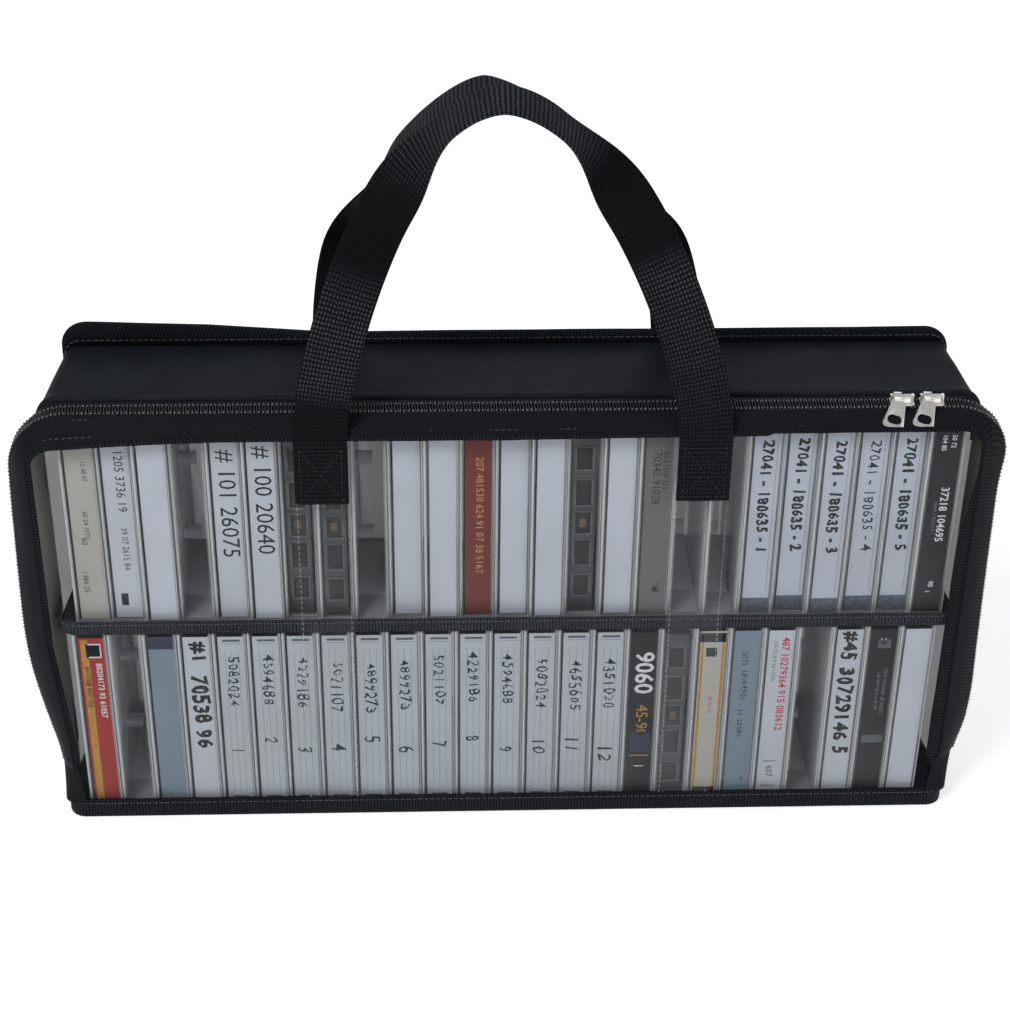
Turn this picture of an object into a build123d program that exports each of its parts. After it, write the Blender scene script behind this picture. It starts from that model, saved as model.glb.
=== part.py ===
"""Zippered carry bag for cassettes: black fabric top and base, clear vinyl window, back and
gussets, one shelf, two rows of cassette boxes, two webbing handles and a coil zipper whose two
sliders run along the front top edge.

Millimetres. +X runs along the bag to the right, +Y to the back and +Z up. The origin is the
middle of the base, on the surface that the bag stands on.
"""
from build123d import *

import math
import os

# ---------------------------------------------------------------- bag
front_side_room = 10.5      # from the rows of boxes to the gussets' outside, at the front
back_side_room = 3.0        # and at the back
top_room = 4.5              # from the upper boxes to the top panel's upper face
back_room = 2.5             # from the hindmost box to the back panel
lip_rise = 2.2              # crest of the top panel's folded front edge above the panel
lip_setback = 24.5          # that folded edge lies this far behind the window
lip_fold = 4.0              # depth of the fold
lip_fall = 5.0              # depth over which the panel drops behind the fold
panel_crown = 0.4           # height of the panel there above its back edge
corner_ease = 3.0           # and how much tighter its corners are
lip_corner = 17.0           # the top's corner radius at the fold
back_corner = 5.0           # and at the back panel
window_inset = 3.0          # the window's seam lies this far inside the gussets
window_drop = 4.7           # and this far below the top panel
window_corner = 10.0
vinyl = 0.5                 # clear vinyl sheet
fabric = 0.8                # coated fabric
webbing = 1.4               # woven handle strap
binding = 0.8               # woven edge binding
seat = 0.1                  # play between sewn neighbours
side_leg = 24.0             # black sides of the top panel, above the clear gussets
leg_lap = 4.0               # what they lap over the gussets

flap_fold = 30.0            # height of the window's fold, level with the zipper's ends
fold_gap = 0.4              # the flap starts this far above the fold
fold_relief = 1.5           # thicker layers start this far above it

# ---------------------------------------------------------------- base and shelf
base_thick = 3.0
base_corner = 8.0
bottom_band = 11.0          # height of the binding round the base
tab_inset = 5.0             # inner edge of the black tabs at the lower front corners
tab_lap = 1.0               # what they lap over the gussets
shelf_thick = 3.4
shelf_corner = 10.0
shelf_band = 7.8            # height of the woven band on the shelf's front edge
shelf_setback = 2.2         # the band's front face lies this far behind the window's
box_rest = 0.3              # play between a box and the board over it

# ---------------------------------------------------------------- back flange
flange_height = 8.4         # bound seam that stands up along the back
flange_thick = 2.0
flange_side = 2.4
flange_corner = 13.0

# ---------------------------------------------------------------- zipper
zip_bulge = 10.0            # the zipper stands out past the gussets
zip_foot_bulge = 3.0        # and by this at its lower ends
zip_knee = 95.0             # height where its sides start to draw in
zip_rise = 1.2              # crest of the coil chain above the top panel's fold
zip_corner = 29.0
chain_setback = 13.0        # the chain's middle line lies this far behind the window
chain_row = 3.2             # width of one half of the chain
chain_gap = 1.0             # between the halves, where the slider's wedge runs
chain_thick = 2.2
chain_round = 0.8           # rounding at the edges of each half
tape_thick = 0.6
tape_below = 1.2            # the tapes join the chain this far under its crest
seam_setback = 3.0          # seam of the fixed tape and the gussets, behind the top's fold
seam_border = 3.0           # black border of the window's seam
seam_border_thick = 0.3

slider_length = 11.0
slider_width = 8.0
slider_nose = 5.0
slider_plate = 0.8
slider_play = 0.5
wedge_thick = 0.5
crown_bar = 1.4
crown_rise = 2.7            # crown's bar above the slider's upper plate
crown_half = 4.4
eye_bore = 1.9
eye_wall = 0.85
eye_length = 3.8
eye_offset = -2.3           # the pull sits towards the left end of its bar
pull_thick = 1.1
pull_neck = 4.8             # level part that clears the slider's edge
pull_neck_width = 3.8
pull_tab = 13.1
pull_top_width = 6.2
pull_end_width = 10.4
pull_round = 1.6
pull_hole_width = 6.8
pull_hole_height = 4.2
pull_hole_rim = 1.9
pull_drop = 54.0            # degrees that the tab hangs below level
pull_lean = 16.0            # degrees that the tab hangs aslant
right_slider_inset = 37.0   # from the zipper's outside to the right slider's middle
slider_spacing = 14.0

# ---------------------------------------------------------------- handles and strips
strap_width = 25.0
foot_length = 33.0          # sewn webbing below the line about which the straps swing
foot_drop = 2.5             # that line lies this far below the window's top
strap_joint = 0.3
strap_gap = 0.6             # between the two straps at the top of their arches
strap_spans = 24            # twisted spans along each strap
strip_width = 28.0          # clear reinforcing strips below the webbing
# each strap leans to the middle and twists over these shares of its way to the top
front_strap = dict(foot_x=89.0, rise=155.6, bow=1.73, crest=1.53, sway=-4.9, turn=82.0,
                   lean=(0.16, 0.95), twist=(0.55, 0.855))
back_strap = dict(foot_x=83.0, rise=151.2, bow=1.52, crest=2.06, sway=-12.5, turn=90.0,
                  lean=(0.20, 0.88), twist=(0.24, 0.69))

# ---------------------------------------------------------------- cassette boxes
boxes_per_row = 25
box_gap = 0.12              # between two boxes
box_wall = 1.2
box_play = 0.15
box_side_room = 1.4         # from the tape's thick edge to the box's walls
box_end_room = 3.1          # from its ends
box_back_room = 3.2         # and from its back
lid_pocket = 22.0           # depth of the lid's end walls
card_thick = 0.3
card_side_room = 1.6        # play across the card's spine
card_end_room = 1.3
card_short = 3.8            # the card's panel is this much less deep than the tape
tape_width = 63.8
tape_height = 100.4
tape_body = 8.7
tape_head = 11.6            # thicker edge where the tape is read
tape_head_depth = 14.0
hub_spacing = 42.5
hub_bore = 9.5
hub_post = 7.0
hub_depth = 29.0            # hubs' distance behind the tape's thick edge
upper_shift = 0.5           # each row's shift from the middle
lower_shift = -2.0
upper_setback = 5.0         # boxes behind the window, before their unevenness
lower_setback = 2.0
uneven = 1.5                # how unevenly the upper boxes stand

# Places in each row, counted from the left: what shows in the boxes.
upper_clear = (3, 6, 7, 8, 14, 17, 18)
upper_empty = (3, 8, 17, 18)
lower_clear = (1, 17, 21)
lower_empty = (1, 21)
card_places = {
    "white_cards": ((1, 2, 9, 10, 12, 13, 15), (24,)),
    "lettered_cards": ((4, 5), (3, 20, 22)),
    "ruled_cards": ((), tuple(range(4, 16))),
    "pale_blue_cards": ((19, 20, 21, 22, 23), ()),
    "cream_cards": ((0,), (18,)),
    "grey_cards": ((16,), (2, 19)),
    "dark_cards": ((24,), (16, 23)),
    "red_cards": ((11,), (0,)),
}

# ---------------------------------------------------------------- worked out from the above
box_thick = tape_head + 2 * (box_wall + box_side_room)
box_height = tape_height + 2 * (box_wall + box_end_room)
box_depth = tape_width + card_thick + 2 * (box_wall + box_play) + box_back_room
box_pitch = box_thick + box_gap
card_width = box_thick - 2 * box_wall - card_side_room
card_height = box_height - 2 * (box_wall + card_end_room)
card_panel = tape_width - card_short
half_row = boxes_per_row * box_pitch / 2
upper_row_x = upper_shift - half_row
lower_row_x = lower_shift - half_row
gusset_half_front = half_row + front_side_room
gusset_half_back = half_row + back_side_room
bag_depth = upper_setback + 2 * uneven + box_depth + back_room + vinyl
half_depth = bag_depth / 2
front_y = -half_depth
back_y = half_depth
lip_front = front_y + lip_setback
chain_middle = front_y + chain_setback
gusset_front = lip_front + seam_setback
tab_back = gusset_front + tab_lap
flap_low = flap_fold + fold_gap
layer_low = flap_fold + fold_relief
sill_top = flap_fold - fold_gap
band_top = bottom_band + seat
chain_front = chain_middle - chain_gap / 2 - chain_row
chain_back = chain_middle + chain_gap / 2 + chain_row
shelf_under = base_thick + box_height + box_rest
shelf_top = shelf_under + shelf_thick
top_height = shelf_top + box_height + top_room
lip_height = top_height + lip_rise
window_half_width = gusset_half_front - window_inset
window_top = top_height - window_drop
tab_reach = gusset_half_front - tab_inset
zip_half_width = gusset_half_front + zip_bulge
zip_foot_half = gusset_half_front + zip_foot_bulge
zip_height = lip_height + zip_rise
foot_top = window_top - foot_drop
foot_bottom = foot_top - foot_length
slider_top = zip_height + slider_play + slider_plate
right_slider_x = zip_half_width - right_slider_inset
left_slider_x = right_slider_x - slider_spacing
pivot_z = slider_top + crown_rise
gusset_top = top_height - side_leg + leg_lap


def save(shape, name):
    """Write one sub-part."""
    export_step(shape, os.path.join("parts", name + ".step"))


def group(shapes, name):
    """Write several like solids as one sub-part."""
    save(Compound(children=list(shapes)), name)


def half_width(y):
    """Half width of the bag between its gussets, narrowing to the back."""
    share = (y - lip_front) / (back_y - lip_front)
    return gusset_half_front + (gusset_half_back - gusset_half_front) * share


def block(low, high):
    """Block between two opposite corners."""
    size = [b - a for a, b in zip(low, high)]
    middle = [(a + b) / 2 for a, b in zip(low, high)]
    return Pos(*middle) * Box(*size)


def upright(y):
    """Upright plane at a depth, with X to the right and Z up."""
    return Plane(origin=(0, y, 0), x_dir=(1, 0, 0), z_dir=(0, -1, 0))


def mirrored_pair(solid):
    return [solid, mirror(solid, Plane.YZ)]


# ---------------------------------------------------------------- arches
def arch_face(y, half, top, corner, thick, low, foot=None):
    """Band in an upright plane that runs up one side, over the top and down the other.

    Where foot is given, the sides draw in to it from the height of the zipper's knee.
    """
    outer = [(-half, low), (-half, top), (half, top), (half, low)]
    outer_radii, inner_radii = [corner] * 2, [corner - thick] * 2
    if foot is not None:
        outer = [(-foot, low), (-half, zip_knee), *outer[1:3], (half, zip_knee), (foot, low)]
        outer_radii, inner_radii = [0, *outer_radii, 0], [0, *inner_radii, 0]
    inner = [(x - math.copysign(thick, x), z - (thick if z == top else 0)) for x, z in outer]
    with BuildSketch(upright(y)) as band:
        with BuildLine():
            FilletPolyline(*outer, radius=outer_radii)
            FilletPolyline(*inner, radius=inner_radii)
            Line(outer[0], inner[0])
            Line(outer[-1], inner[-1])
        make_face()
    return band.sketch.faces()[0]


def arch_band(*stations):
    """Ruled band through arches at several depths."""
    return loft([arch_face(**station) for station in stations], ruled=True)


def zip_arch(y, below, thick, low):
    """Arch that follows the zipper's line, a little below its crest."""
    return dict(y=y, half=zip_half_width - below, top=zip_height - below,
                corner=zip_corner - below, thick=thick, low=low, foot=zip_foot_half - below)


def chain_half(y_from, y_to, low):
    """One half of the coil chain, with rounded edges."""
    edge = chain_round
    return arch_band(
        zip_arch(y_from, edge, chain_thick - 2 * edge, low),
        zip_arch(y_from + edge, 0, chain_thick, low),
        zip_arch(y_to - edge, 0, chain_thick, low),
        zip_arch(y_to, edge, chain_thick - 2 * edge, low))


# ---------------------------------------------------------------- shell of the bag
def base_outline(margin, rounding):
    """Plan of the base, drawn in by a margin."""
    front, back = front_y + margin, back_y - margin
    wide, narrow = half_width(front_y) - margin, half_width(back_y) - margin
    corners = Polyline((-wide, front), (wide, front), (narrow, back), (-narrow, back), close=True)
    plan = make_face(corners)
    return fillet(plan.vertices(), rounding)


def base_panel():
    return extrude(base_outline(binding + seat, base_corner - binding), base_thick)


def bottom_binding():
    """Woven band folded over the bottom seam, inside and out; the walls stand on it."""
    ring = (base_outline(-binding, base_corner + binding)
            - base_outline(binding, base_corner - binding))
    return extrude(ring, bottom_band)


def side_line(y_front, y_back, inset):
    """Two points along the right side of the bag, in plan."""
    return [(half_width(y) - inset, y) for y in (y_front, y_back)]


def gusset():
    """Clear sheet from the fixed tape's seam to the back panel, on the right."""
    outer = side_line(gusset_front, back_y - vinyl - seat, fabric + seat)
    inner = side_line(gusset_front, back_y - vinyl - seat, fabric + seat + vinyl)
    plan = make_face(Polyline(*outer, *reversed(inner), close=True))
    return Pos(0, 0, band_top) * extrude(plan, gusset_top - band_top)


def front_tab():
    """Black tab round the lower right front corner, below the zipper's end."""
    outer = side_line(front_y - fabric, tab_back, 0)
    inner = side_line(front_y, tab_back, fabric)
    plan = make_face(Polyline((tab_reach, front_y - fabric), *outer, *reversed(inner),
                              (tab_reach, front_y), close=True))
    return Pos(0, 0, band_top) * extrude(plan, sill_top - band_top)


def top_station(y, top, corner):
    return dict(y=y, half=half_width(y), top=top, corner=corner, thick=fabric,
                low=top_height - side_leg)


def top_panel():
    """Black top with a raised fold along its front edge and short black sides."""
    crest_end = lip_front + lip_fold
    return arch_band(
        top_station(lip_front, lip_height - fabric, lip_corner),
        top_station(lip_front + fabric, lip_height, lip_corner),
        top_station(crest_end, lip_height, lip_corner),
        top_station(crest_end + lip_fall, top_height + panel_crown, lip_corner - corner_ease),
        top_station(back_y - vinyl - seat, top_height, back_corner))


def sheet_outline(y, half, top, corner, low):
    """Upright sheet with rounded upper corners."""
    with BuildSketch(upright(y)) as sheet:
        with BuildLine():
            FilletPolyline((-half, low), (-half, top), (half, top), (half, low),
                           radius=[corner, corner])
            Line((half, low), (-half, low))
        make_face()
    return sheet.sketch


def back_panel():
    outline = sheet_outline(back_y, half_width(back_y), top_height, back_corner, band_top)
    return extrude(outline, vinyl)


def back_flange():
    """Bound seam that stands up round the back panel."""
    y = back_y + seat
    outer = sheet_outline(y, half_width(back_y) + flange_side, top_height + flange_height,
                          flange_corner, band_top)
    inner = sheet_outline(y, half_width(y - flange_thick) + seat, top_height + seat,
                          back_corner + seat, band_top)
    return extrude(outer - inner, flange_thick)


# ---------------------------------------------------------------- window flap and its zipper
def front_window():
    outline = sheet_outline(front_y + vinyl, window_half_width - tape_thick - seat,
                            window_top - tape_thick - seat, window_corner - tape_thick, flap_low)
    return extrude(outline, vinyl)


def window_sill():
    """The window's lowest strip, which stays sewn in when the zipper is open."""
    reach = half_width(front_y) - fabric - seat
    return block((-reach, front_y, band_top), (reach, front_y + vinyl, sill_top))


def seam_border_band():
    """Black border where the window is sewn to the zipper's tape."""
    outer = sheet_outline(front_y, window_half_width, window_top, window_corner, layer_low)
    inner = sheet_outline(front_y, window_half_width - seam_border,
                          window_top - seam_border + 0.8, window_corner - seam_border, layer_low)
    return extrude(outer - inner, seam_border_thick)


def flap_tape():
    """Zipper tape that slopes from the window's seam out to the chain."""
    front = dict(y=front_y, half=window_half_width, top=window_top, corner=window_corner,
                 thick=tape_thick, low=flap_low, foot=window_half_width + seat)
    return arch_band(front, zip_arch(chain_front, tape_below, tape_thick, flap_low))


def fixed_tape():
    """Zipper tape from the chain back to the gussets and under the top panel's fold."""
    low = sill_top + seat
    tucked = half_width(lip_front) - fabric - 2 * seat
    sewn = half_width(gusset_front) - fabric - seat
    return arch_band(
        zip_arch(chain_back, tape_below, tape_thick, low),
        dict(y=lip_front - tape_thick, half=tucked, top=lip_height - 2 * fabric - 3 * seat,
             corner=lip_corner - fabric - 2 * seat, thick=tape_thick, low=low,
             foot=tucked - seat),
        dict(y=gusset_front, half=sewn, top=top_height - fabric - seat,
             corner=lip_corner - fabric - 2 * seat, thick=tape_thick, low=low,
             foot=sewn - seat))


def strips(face, foot_x, low, high):
    """Pair of clear reinforcing strips on a face of the bag, outward from it."""
    y_from, y_to = sorted((face, face + math.copysign(vinyl, face)))
    right = block((foot_x - strip_width / 2, y_from, low), (foot_x + strip_width / 2, y_to, high))
    return mirrored_pair(right)


def strap_feet(face, foot_x):
    """Pair of sewn webbing ends, over the strips."""
    inner = face + math.copysign(vinyl, face)
    y_from, y_to = sorted((inner, inner + math.copysign(webbing, face)))
    right = block((foot_x - strap_width / 2, y_from, foot_bottom),
                  (foot_x + strap_width / 2, y_to, foot_top))
    return mirrored_pair(right)


# ---------------------------------------------------------------- slider and pull
def slider(x):
    """Slider with two plates, the wedge between them and the crown that holds the pull."""
    half_l, half_w, nose = slider_length / 2, slider_width / 2, slider_nose / 2
    plan = make_face(Polyline((-half_l, -nose), (-half_l / 3, -half_w), (half_l, -half_w),
                              (half_l, half_w), (-half_l / 3, half_w), (-half_l, nose), close=True))
    plate = extrude(fillet(plan.vertices(), 1.0), slider_plate)
    lower_z = zip_height - chain_thick - slider_play - slider_plate
    wedge = block((-half_l + 1, -wedge_thick / 2, lower_z), (half_l - 1, wedge_thick / 2, slider_top))
    post = block((crown_half, -crown_bar / 2, slider_top - slider_plate / 2),
                 (crown_half + crown_bar * 0.8, crown_bar / 2, pivot_z + crown_bar / 2))
    bar = Pos(0, 0, pivot_z) * Rot(0, 90, 0) * Cylinder(crown_bar / 2, 2 * crown_half + crown_bar)
    body = Pos(0, 0, lower_z) * plate + Pos(0, 0, slider_top - slider_plate) * plate + wedge
    return Pos(x, chain_middle, 0) * (body + post + mirror(post, Plane.YZ) + bar)


def pull(x):
    """Pull with a rolled eye round the crown's bar, a neck and a tapering tab with a hole."""
    eye = Rot(0, 90, 0) * (Cylinder(eye_bore / 2 + eye_wall, eye_length)
                           - Cylinder(eye_bore / 2, eye_length))
    neck = block((-pull_neck_width / 2, -pull_neck - pull_thick / 2, -pull_thick / 2),
                 (pull_neck_width / 2, -eye_bore / 2 - eye_wall / 2, pull_thick / 2))
    tab = make_face(Polyline((-pull_top_width / 2, 0), (pull_top_width / 2, 0),
                             (pull_end_width / 2, -pull_tab), (-pull_end_width / 2, -pull_tab),
                             close=True))
    tab = fillet(tab.vertices(), pull_round)
    hole_y = -pull_tab + pull_hole_rim + pull_hole_height / 2
    tab -= Pos(0, hole_y) * SlotOverall(pull_hole_width, pull_hole_height)
    tab = Rot(0, 0, -pull_lean) * extrude(tab, pull_thick / 2, both=True)
    tab = Pos(0, -pull_neck, 0) * Rot(pull_drop, 0, 0) * tab
    return Pos(x + eye_offset, chain_middle, pivot_z) * (eye + neck + tab)


# ---------------------------------------------------------------- handles
def smooth(share):
    """Ease from 0 to 1."""
    share = min(max(share, 0.0), 1.0)
    return share * share * (3 - 2 * share)


def strap_line(foot_x, rise, bow, crest, sway, samples=240):
    """Middle line of a strap's arch, seen from the front, as (x, z) above the feet."""
    line = []
    for step in range(samples + 1):
        angle = math.pi * step / samples
        c, s = math.cos(angle), math.sin(angle)
        x = -math.copysign(foot_x * abs(c) ** (2 / bow), c) + sway * s * s
        line.append((x, rise * abs(s) ** (2 / crest)))
    return line


def evenly(line, spans):
    """Points at even distances along a line, each with the line's direction."""
    lengths = [0.0]
    for a, b in zip(line, line[1:]):
        lengths.append(lengths[-1] + math.dist(a, b))
    places = []
    index = 1
    for step in range(spans + 1):
        want = lengths[-1] * step / spans
        while index < len(line) - 1 and lengths[index] < want:
            index += 1
        a, b = line[index - 1], line[index]
        share = (want - lengths[index - 1]) / (lengths[index] - lengths[index - 1])
        point = [p + (q - p) * share for p, q in zip(a, b)]
        along = [(q - p) / math.dist(a, b) for p, q in zip(a, b)]
        places.append((point, along))
    return places


def front_side_strap(foot_x, rise, bow, crest, sway, turn, lean, twist):
    """Free part of a handle: flat to the bag at its feet, twisted to lie level at its top."""
    foot_y = half_depth + vinyl + webbing / 2
    top_y = (strap_width + strap_gap) / 2
    places = evenly(strap_line(foot_x, rise, bow, crest, sway), strap_spans)
    sections = []
    for step, ((x, z), (ax, az)) in enumerate(places):
        up = 1 - abs(2 * step / strap_spans - 1)
        inward = smooth((up - lean[0]) / (lean[1] - lean[0]))
        turned = math.radians(turn) * smooth((up - twist[0]) / (twist[1] - twist[0]))
        if step in (0, strap_spans):
            ax, az = 0.0, math.copysign(1.0, az)
        middle = Vector(x, -foot_y + (foot_y - top_y) * inward, foot_top + strap_joint + z)
        across = Vector(-az * math.cos(turned), math.sin(turned), ax * math.cos(turned))
        plane = Plane(origin=middle, x_dir=across, z_dir=Vector(ax, 0, az))
        sections.append((plane * Rectangle(strap_width, webbing)).face())
    spans = [loft([a, b], ruled=True) for a, b in zip(sections, sections[1:])]
    return spans[0].fuse(*spans[1:])


# ---------------------------------------------------------------- shelf
def shelf_outline(margin):
    """Plan of the shelf with rounded front corners, drawn out by a margin."""
    inset = fabric + 2 * seat + vinyl - margin
    front, back = front_y + shelf_setback + binding - margin, back_y - vinyl - seat
    (wide, _), (narrow, _) = side_line(lip_front, back, inset)
    corners = Polyline((-wide, front), (wide, front), (narrow, back), (-narrow, back), close=True)
    plan = make_face(corners)
    return fillet(plan.vertices().sort_by(Axis.Y)[:2], shelf_corner + margin)


def shelf_board():
    return Pos(0, 0, shelf_under) * extrude(shelf_outline(0), shelf_thick)


def shelf_binding():
    """Woven band over the shelf's front edge and round its corners."""
    ring = shelf_outline(binding) - shelf_outline(0)
    front_part = block((-zip_half_width, front_y, 0), (zip_half_width, lip_front, shelf_band))
    return Pos(0, 0, shelf_under - seat) * (extrude(ring, shelf_band) & front_part)


# ---------------------------------------------------------------- cassette boxes
def box_lid():
    """Clear half with the spine, one large face and shallow end walls."""
    plan = make_face(Polyline((0, 0), (box_thick, 0), (box_thick, box_depth),
                              (box_thick - box_wall, box_depth), (box_thick - box_wall, box_wall),
                              (0, box_wall), close=True))
    end_wall = block((0, box_wall / 2, 0), (box_thick - box_wall / 2, lid_pocket, box_wall))
    return extrude(plan, box_height) + end_wall + Pos(0, 0, box_height - box_wall) * end_wall


def box_tray(posts):
    """Clear half that shuts into the lid, with posts for the hubs where they show."""
    front, right = box_wall + box_play, box_thick - box_wall - box_play
    low = box_wall + box_play
    plate = block((0, front, low), (box_wall, box_depth, box_height - low))
    back = block((0, box_depth - box_wall, 0), (right, box_depth, box_height))
    end_wall = block((0, lid_pocket + box_play, 0), (right, box_depth, box_wall))
    tray = plate + back + end_wall + Pos(0, 0, box_height - box_wall) * end_wall
    if posts:
        post = Rot(0, 90, 0) * Cylinder(hub_post / 2, tape_body, align=(Align.CENTER, Align.CENTER,
                                                                      Align.MIN))
        for z in (-hub_spacing / 2, hub_spacing / 2):
            tray += Pos(box_wall / 2, front + hub_depth, box_height / 2 + z) * post
    return tray


def box_card():
    """Folded card: its spine shows in front, its panel lies against the lid's large face."""
    front = box_wall + box_play
    right = box_thick - box_wall - box_play
    left = right - card_width
    plan = make_face(Polyline((left, front), (right, front), (right, front + card_panel),
                              (right - card_thick, front + card_panel),
                              (right - card_thick, front + card_thick),
                              (left, front + card_thick), close=True))
    return Pos(0, 0, (box_height - card_height) / 2) * extrude(plan, card_height)


def tape_shell(hubs):
    """Cassette: thicker along its open edge, with two hub holes where they show."""
    front = box_wall + 2 * box_play + card_thick
    middle = box_thick / 2 - box_wall / 4
    half_head, half_body = tape_head / 2, tape_body / 2
    shoulder, end = front + tape_head_depth, front + tape_width
    left = [(middle - half_head, front), (middle - half_head, shoulder),
            (middle - half_body, shoulder), (middle - half_body, end)]
    right = [(2 * middle - x, y) for x, y in reversed(left)]
    shell = extrude(make_face(Polyline(*left, *right, close=True)), tape_height)
    if hubs:
        bore = Pos(middle, front + hub_depth, 0) * Rot(0, 90, 0) * Cylinder(hub_bore / 2, box_thick)
        for z in (-hub_spacing / 2, hub_spacing / 2):
            shell -= Pos(0, 0, tape_height / 2 + z) * bore
    return Pos(0, 0, (box_height - tape_height) / 2) * shell


def upper_place(index):
    """Corner of an upper box; the boxes stand a little unevenly."""
    wander = uneven * (1 + math.sin(2.3 * index))
    return Pos(upper_row_x + index * box_pitch, front_y + upper_setback + wander, shelf_top)


def lower_place(index):
    return Pos(lower_row_x + index * box_pitch, front_y + lower_setback, base_thick)


def write_row(name, place, clear, empty):
    """Lids, trays and tapes of one row."""
    every = range(boxes_per_row)
    lid, plain_tray, seen_tray = box_lid(), box_tray(False), box_tray(True)
    plain_tape, seen_tape = tape_shell(False), tape_shell(True)
    ends = (0, boxes_per_row - 1)
    group([place(i) * lid for i in every], name + "_box_lids")
    group([place(i) * (seen_tray if i in clear else plain_tray) for i in every],
          name + "_box_trays")
    group([place(i) * (seen_tape if i in clear or i in ends else plain_tape)
           for i in every if i not in empty], name + "_tapes")


def write_cards():
    card = box_card()
    for name, (upper, lower) in card_places.items():
        group([upper_place(i) * card for i in upper] + [lower_place(i) * card for i in lower], name)


def main():
    os.makedirs("parts", exist_ok=True)
    save(base_panel(), "base_panel")
    save(bottom_binding(), "bottom_binding")
    save(mirror(gusset(), Plane.YZ), "left_gusset")
    save(gusset(), "right_gusset")
    save(top_panel(), "top_panel")
    save(back_panel(), "back_panel")
    save(back_flange(), "back_flange_binding")
    save(window_sill(), "window_sill")
    group(mirrored_pair(front_tab()), "lower_corner_tabs")
    save(fixed_tape(), "fixed_zipper_tape")
    save(chain_half(chain_middle + chain_gap / 2, chain_back, sill_top + seat), "fixed_zipper_coil")
    save(shelf_board(), "shelf_board")
    save(shelf_binding(), "shelf_binding")

    save(front_window(), "front_window")
    save(seam_border_band(), "window_seam_border")
    save(flap_tape(), "flap_zipper_tape")
    save(chain_half(chain_front, chain_middle - chain_gap / 2, flap_low), "flap_zipper_coil")

    front_x, back_x = front_strap["foot_x"], back_strap["foot_x"]
    group(strips(front_y, front_x, layer_low, foot_top), "front_reinforcing_strips")
    group(strips(front_y, front_x, band_top, sill_top), "sill_reinforcing_strips")
    group(strips(back_y, back_x, band_top, foot_top), "back_reinforcing_strips")
    group(strap_feet(front_y, front_x), "front_handle_feet")
    group(strap_feet(back_y, back_x), "back_handle_feet")
    save(front_side_strap(**front_strap), "front_handle")
    save(mirror(front_side_strap(**back_strap), Plane.XZ), "back_handle")

    save(slider(left_slider_x), "left_slider")
    save(slider(right_slider_x), "right_slider")
    save(pull(left_slider_x), "left_pull")
    save(pull(right_slider_x), "right_pull")

    write_row("upper", upper_place, upper_clear, upper_empty)
    write_row("lower", lower_place, lower_clear, lower_empty)
    write_cards()


main()
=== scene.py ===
"""Looks of a zippered carry bag for cassettes: cloth, clear vinyl, webbing, zip and boxed tapes.

Laid out as an add-on and run as a script. Lengths in the functions are millimetres in the
part's frame; meshes are written in metres.
"""
import math
from functools import partialmethod

import bmesh
import bpy
import numpy as np
from mathutils import Matrix, Vector, noise


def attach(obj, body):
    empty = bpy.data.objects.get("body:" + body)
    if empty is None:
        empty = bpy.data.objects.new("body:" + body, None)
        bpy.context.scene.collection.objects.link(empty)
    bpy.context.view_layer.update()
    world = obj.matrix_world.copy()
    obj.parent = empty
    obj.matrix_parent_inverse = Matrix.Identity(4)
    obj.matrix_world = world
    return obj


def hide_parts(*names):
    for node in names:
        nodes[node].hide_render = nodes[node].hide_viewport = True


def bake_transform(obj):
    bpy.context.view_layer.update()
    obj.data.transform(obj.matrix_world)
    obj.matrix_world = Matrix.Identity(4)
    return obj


bl_info = {
    "name": "Zippered cassette bag",
    "version": (1, 0, 0),
    "blender": (4, 5, 0),
    "location": "View3D > Sidebar > Cassette bag",
    "description": "Builds the cloth, vinyl, webbing, zip and boxed cassettes of a carry bag",
    "category": "Object",
}

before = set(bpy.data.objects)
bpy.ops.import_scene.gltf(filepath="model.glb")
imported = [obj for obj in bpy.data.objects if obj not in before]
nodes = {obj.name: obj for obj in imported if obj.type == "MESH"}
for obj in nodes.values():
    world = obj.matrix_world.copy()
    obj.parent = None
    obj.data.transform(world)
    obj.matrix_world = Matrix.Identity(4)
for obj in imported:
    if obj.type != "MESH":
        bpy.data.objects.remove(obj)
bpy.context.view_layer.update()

MM = 0.001

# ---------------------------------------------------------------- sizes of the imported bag, in mm
FRONT, BACK = -40.5, 40.5
HALF_LIP, HALF_BACK = 222.0, 214.5
LIP_FRONT, SEAM_BACK = -16.0, -13.0
TOP, LIP = 229.2, 231.4
WINDOW_HALF, WINDOW_TOP, WINDOW_CORNER = 219.0, 224.5, 10.0
FOLD = 30.0
BAND = 11.0
ZIP_HALF, ZIP_FOOT, ZIP_KNEE, ZIP_TOP, ZIP_CORNER = 232.0, 225.0, 95.0, 232.6, 29.0
CHAIN = -27.5
FOOT_LOW, FOOT_TOP = 189.0, 222.0
SHELF_UNDER, SHELF_TOP, SHELF_BAND = 112.3, 115.7, 7.8
BOX_PITCH, BOX_THICK, BOX_HEIGHT, BOX_WALL = 16.92, 16.8, 109.0, 1.2
UPPER_X, LOWER_X = -211.0, -213.5
CARD_FACE = 1.35            # a card's front lies this far behind its box's front
CARD_WIDTH, CARD_HEIGHT = 12.8, 104.0
BOX_FLOOR = 3.0             # the lower row stands on the base board
LIP_CORNER, BACK_CORNER = 10.5, 5.0
CLOTH_THICK, TAB_THICK, TAPE_THICK = 0.8, 0.5, 0.6
STRIP_HALF, STRIP_SEAM, FOOT_SEAM = 14.0, 11.9, 9.6     # from the middle of a strap
FLAP_LOW, FIXED_LOW = FOLD + 0.4, FOLD - 0.3        # where each half of the zip starts
TAPE_EDGE, TAPE_UNDER = 3.7, 1.2        # the tapes' edges, from the chain's middle and outline
STRAP_FOOT_Y, STRAP_TOP_Y = 41.7, 12.8
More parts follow.
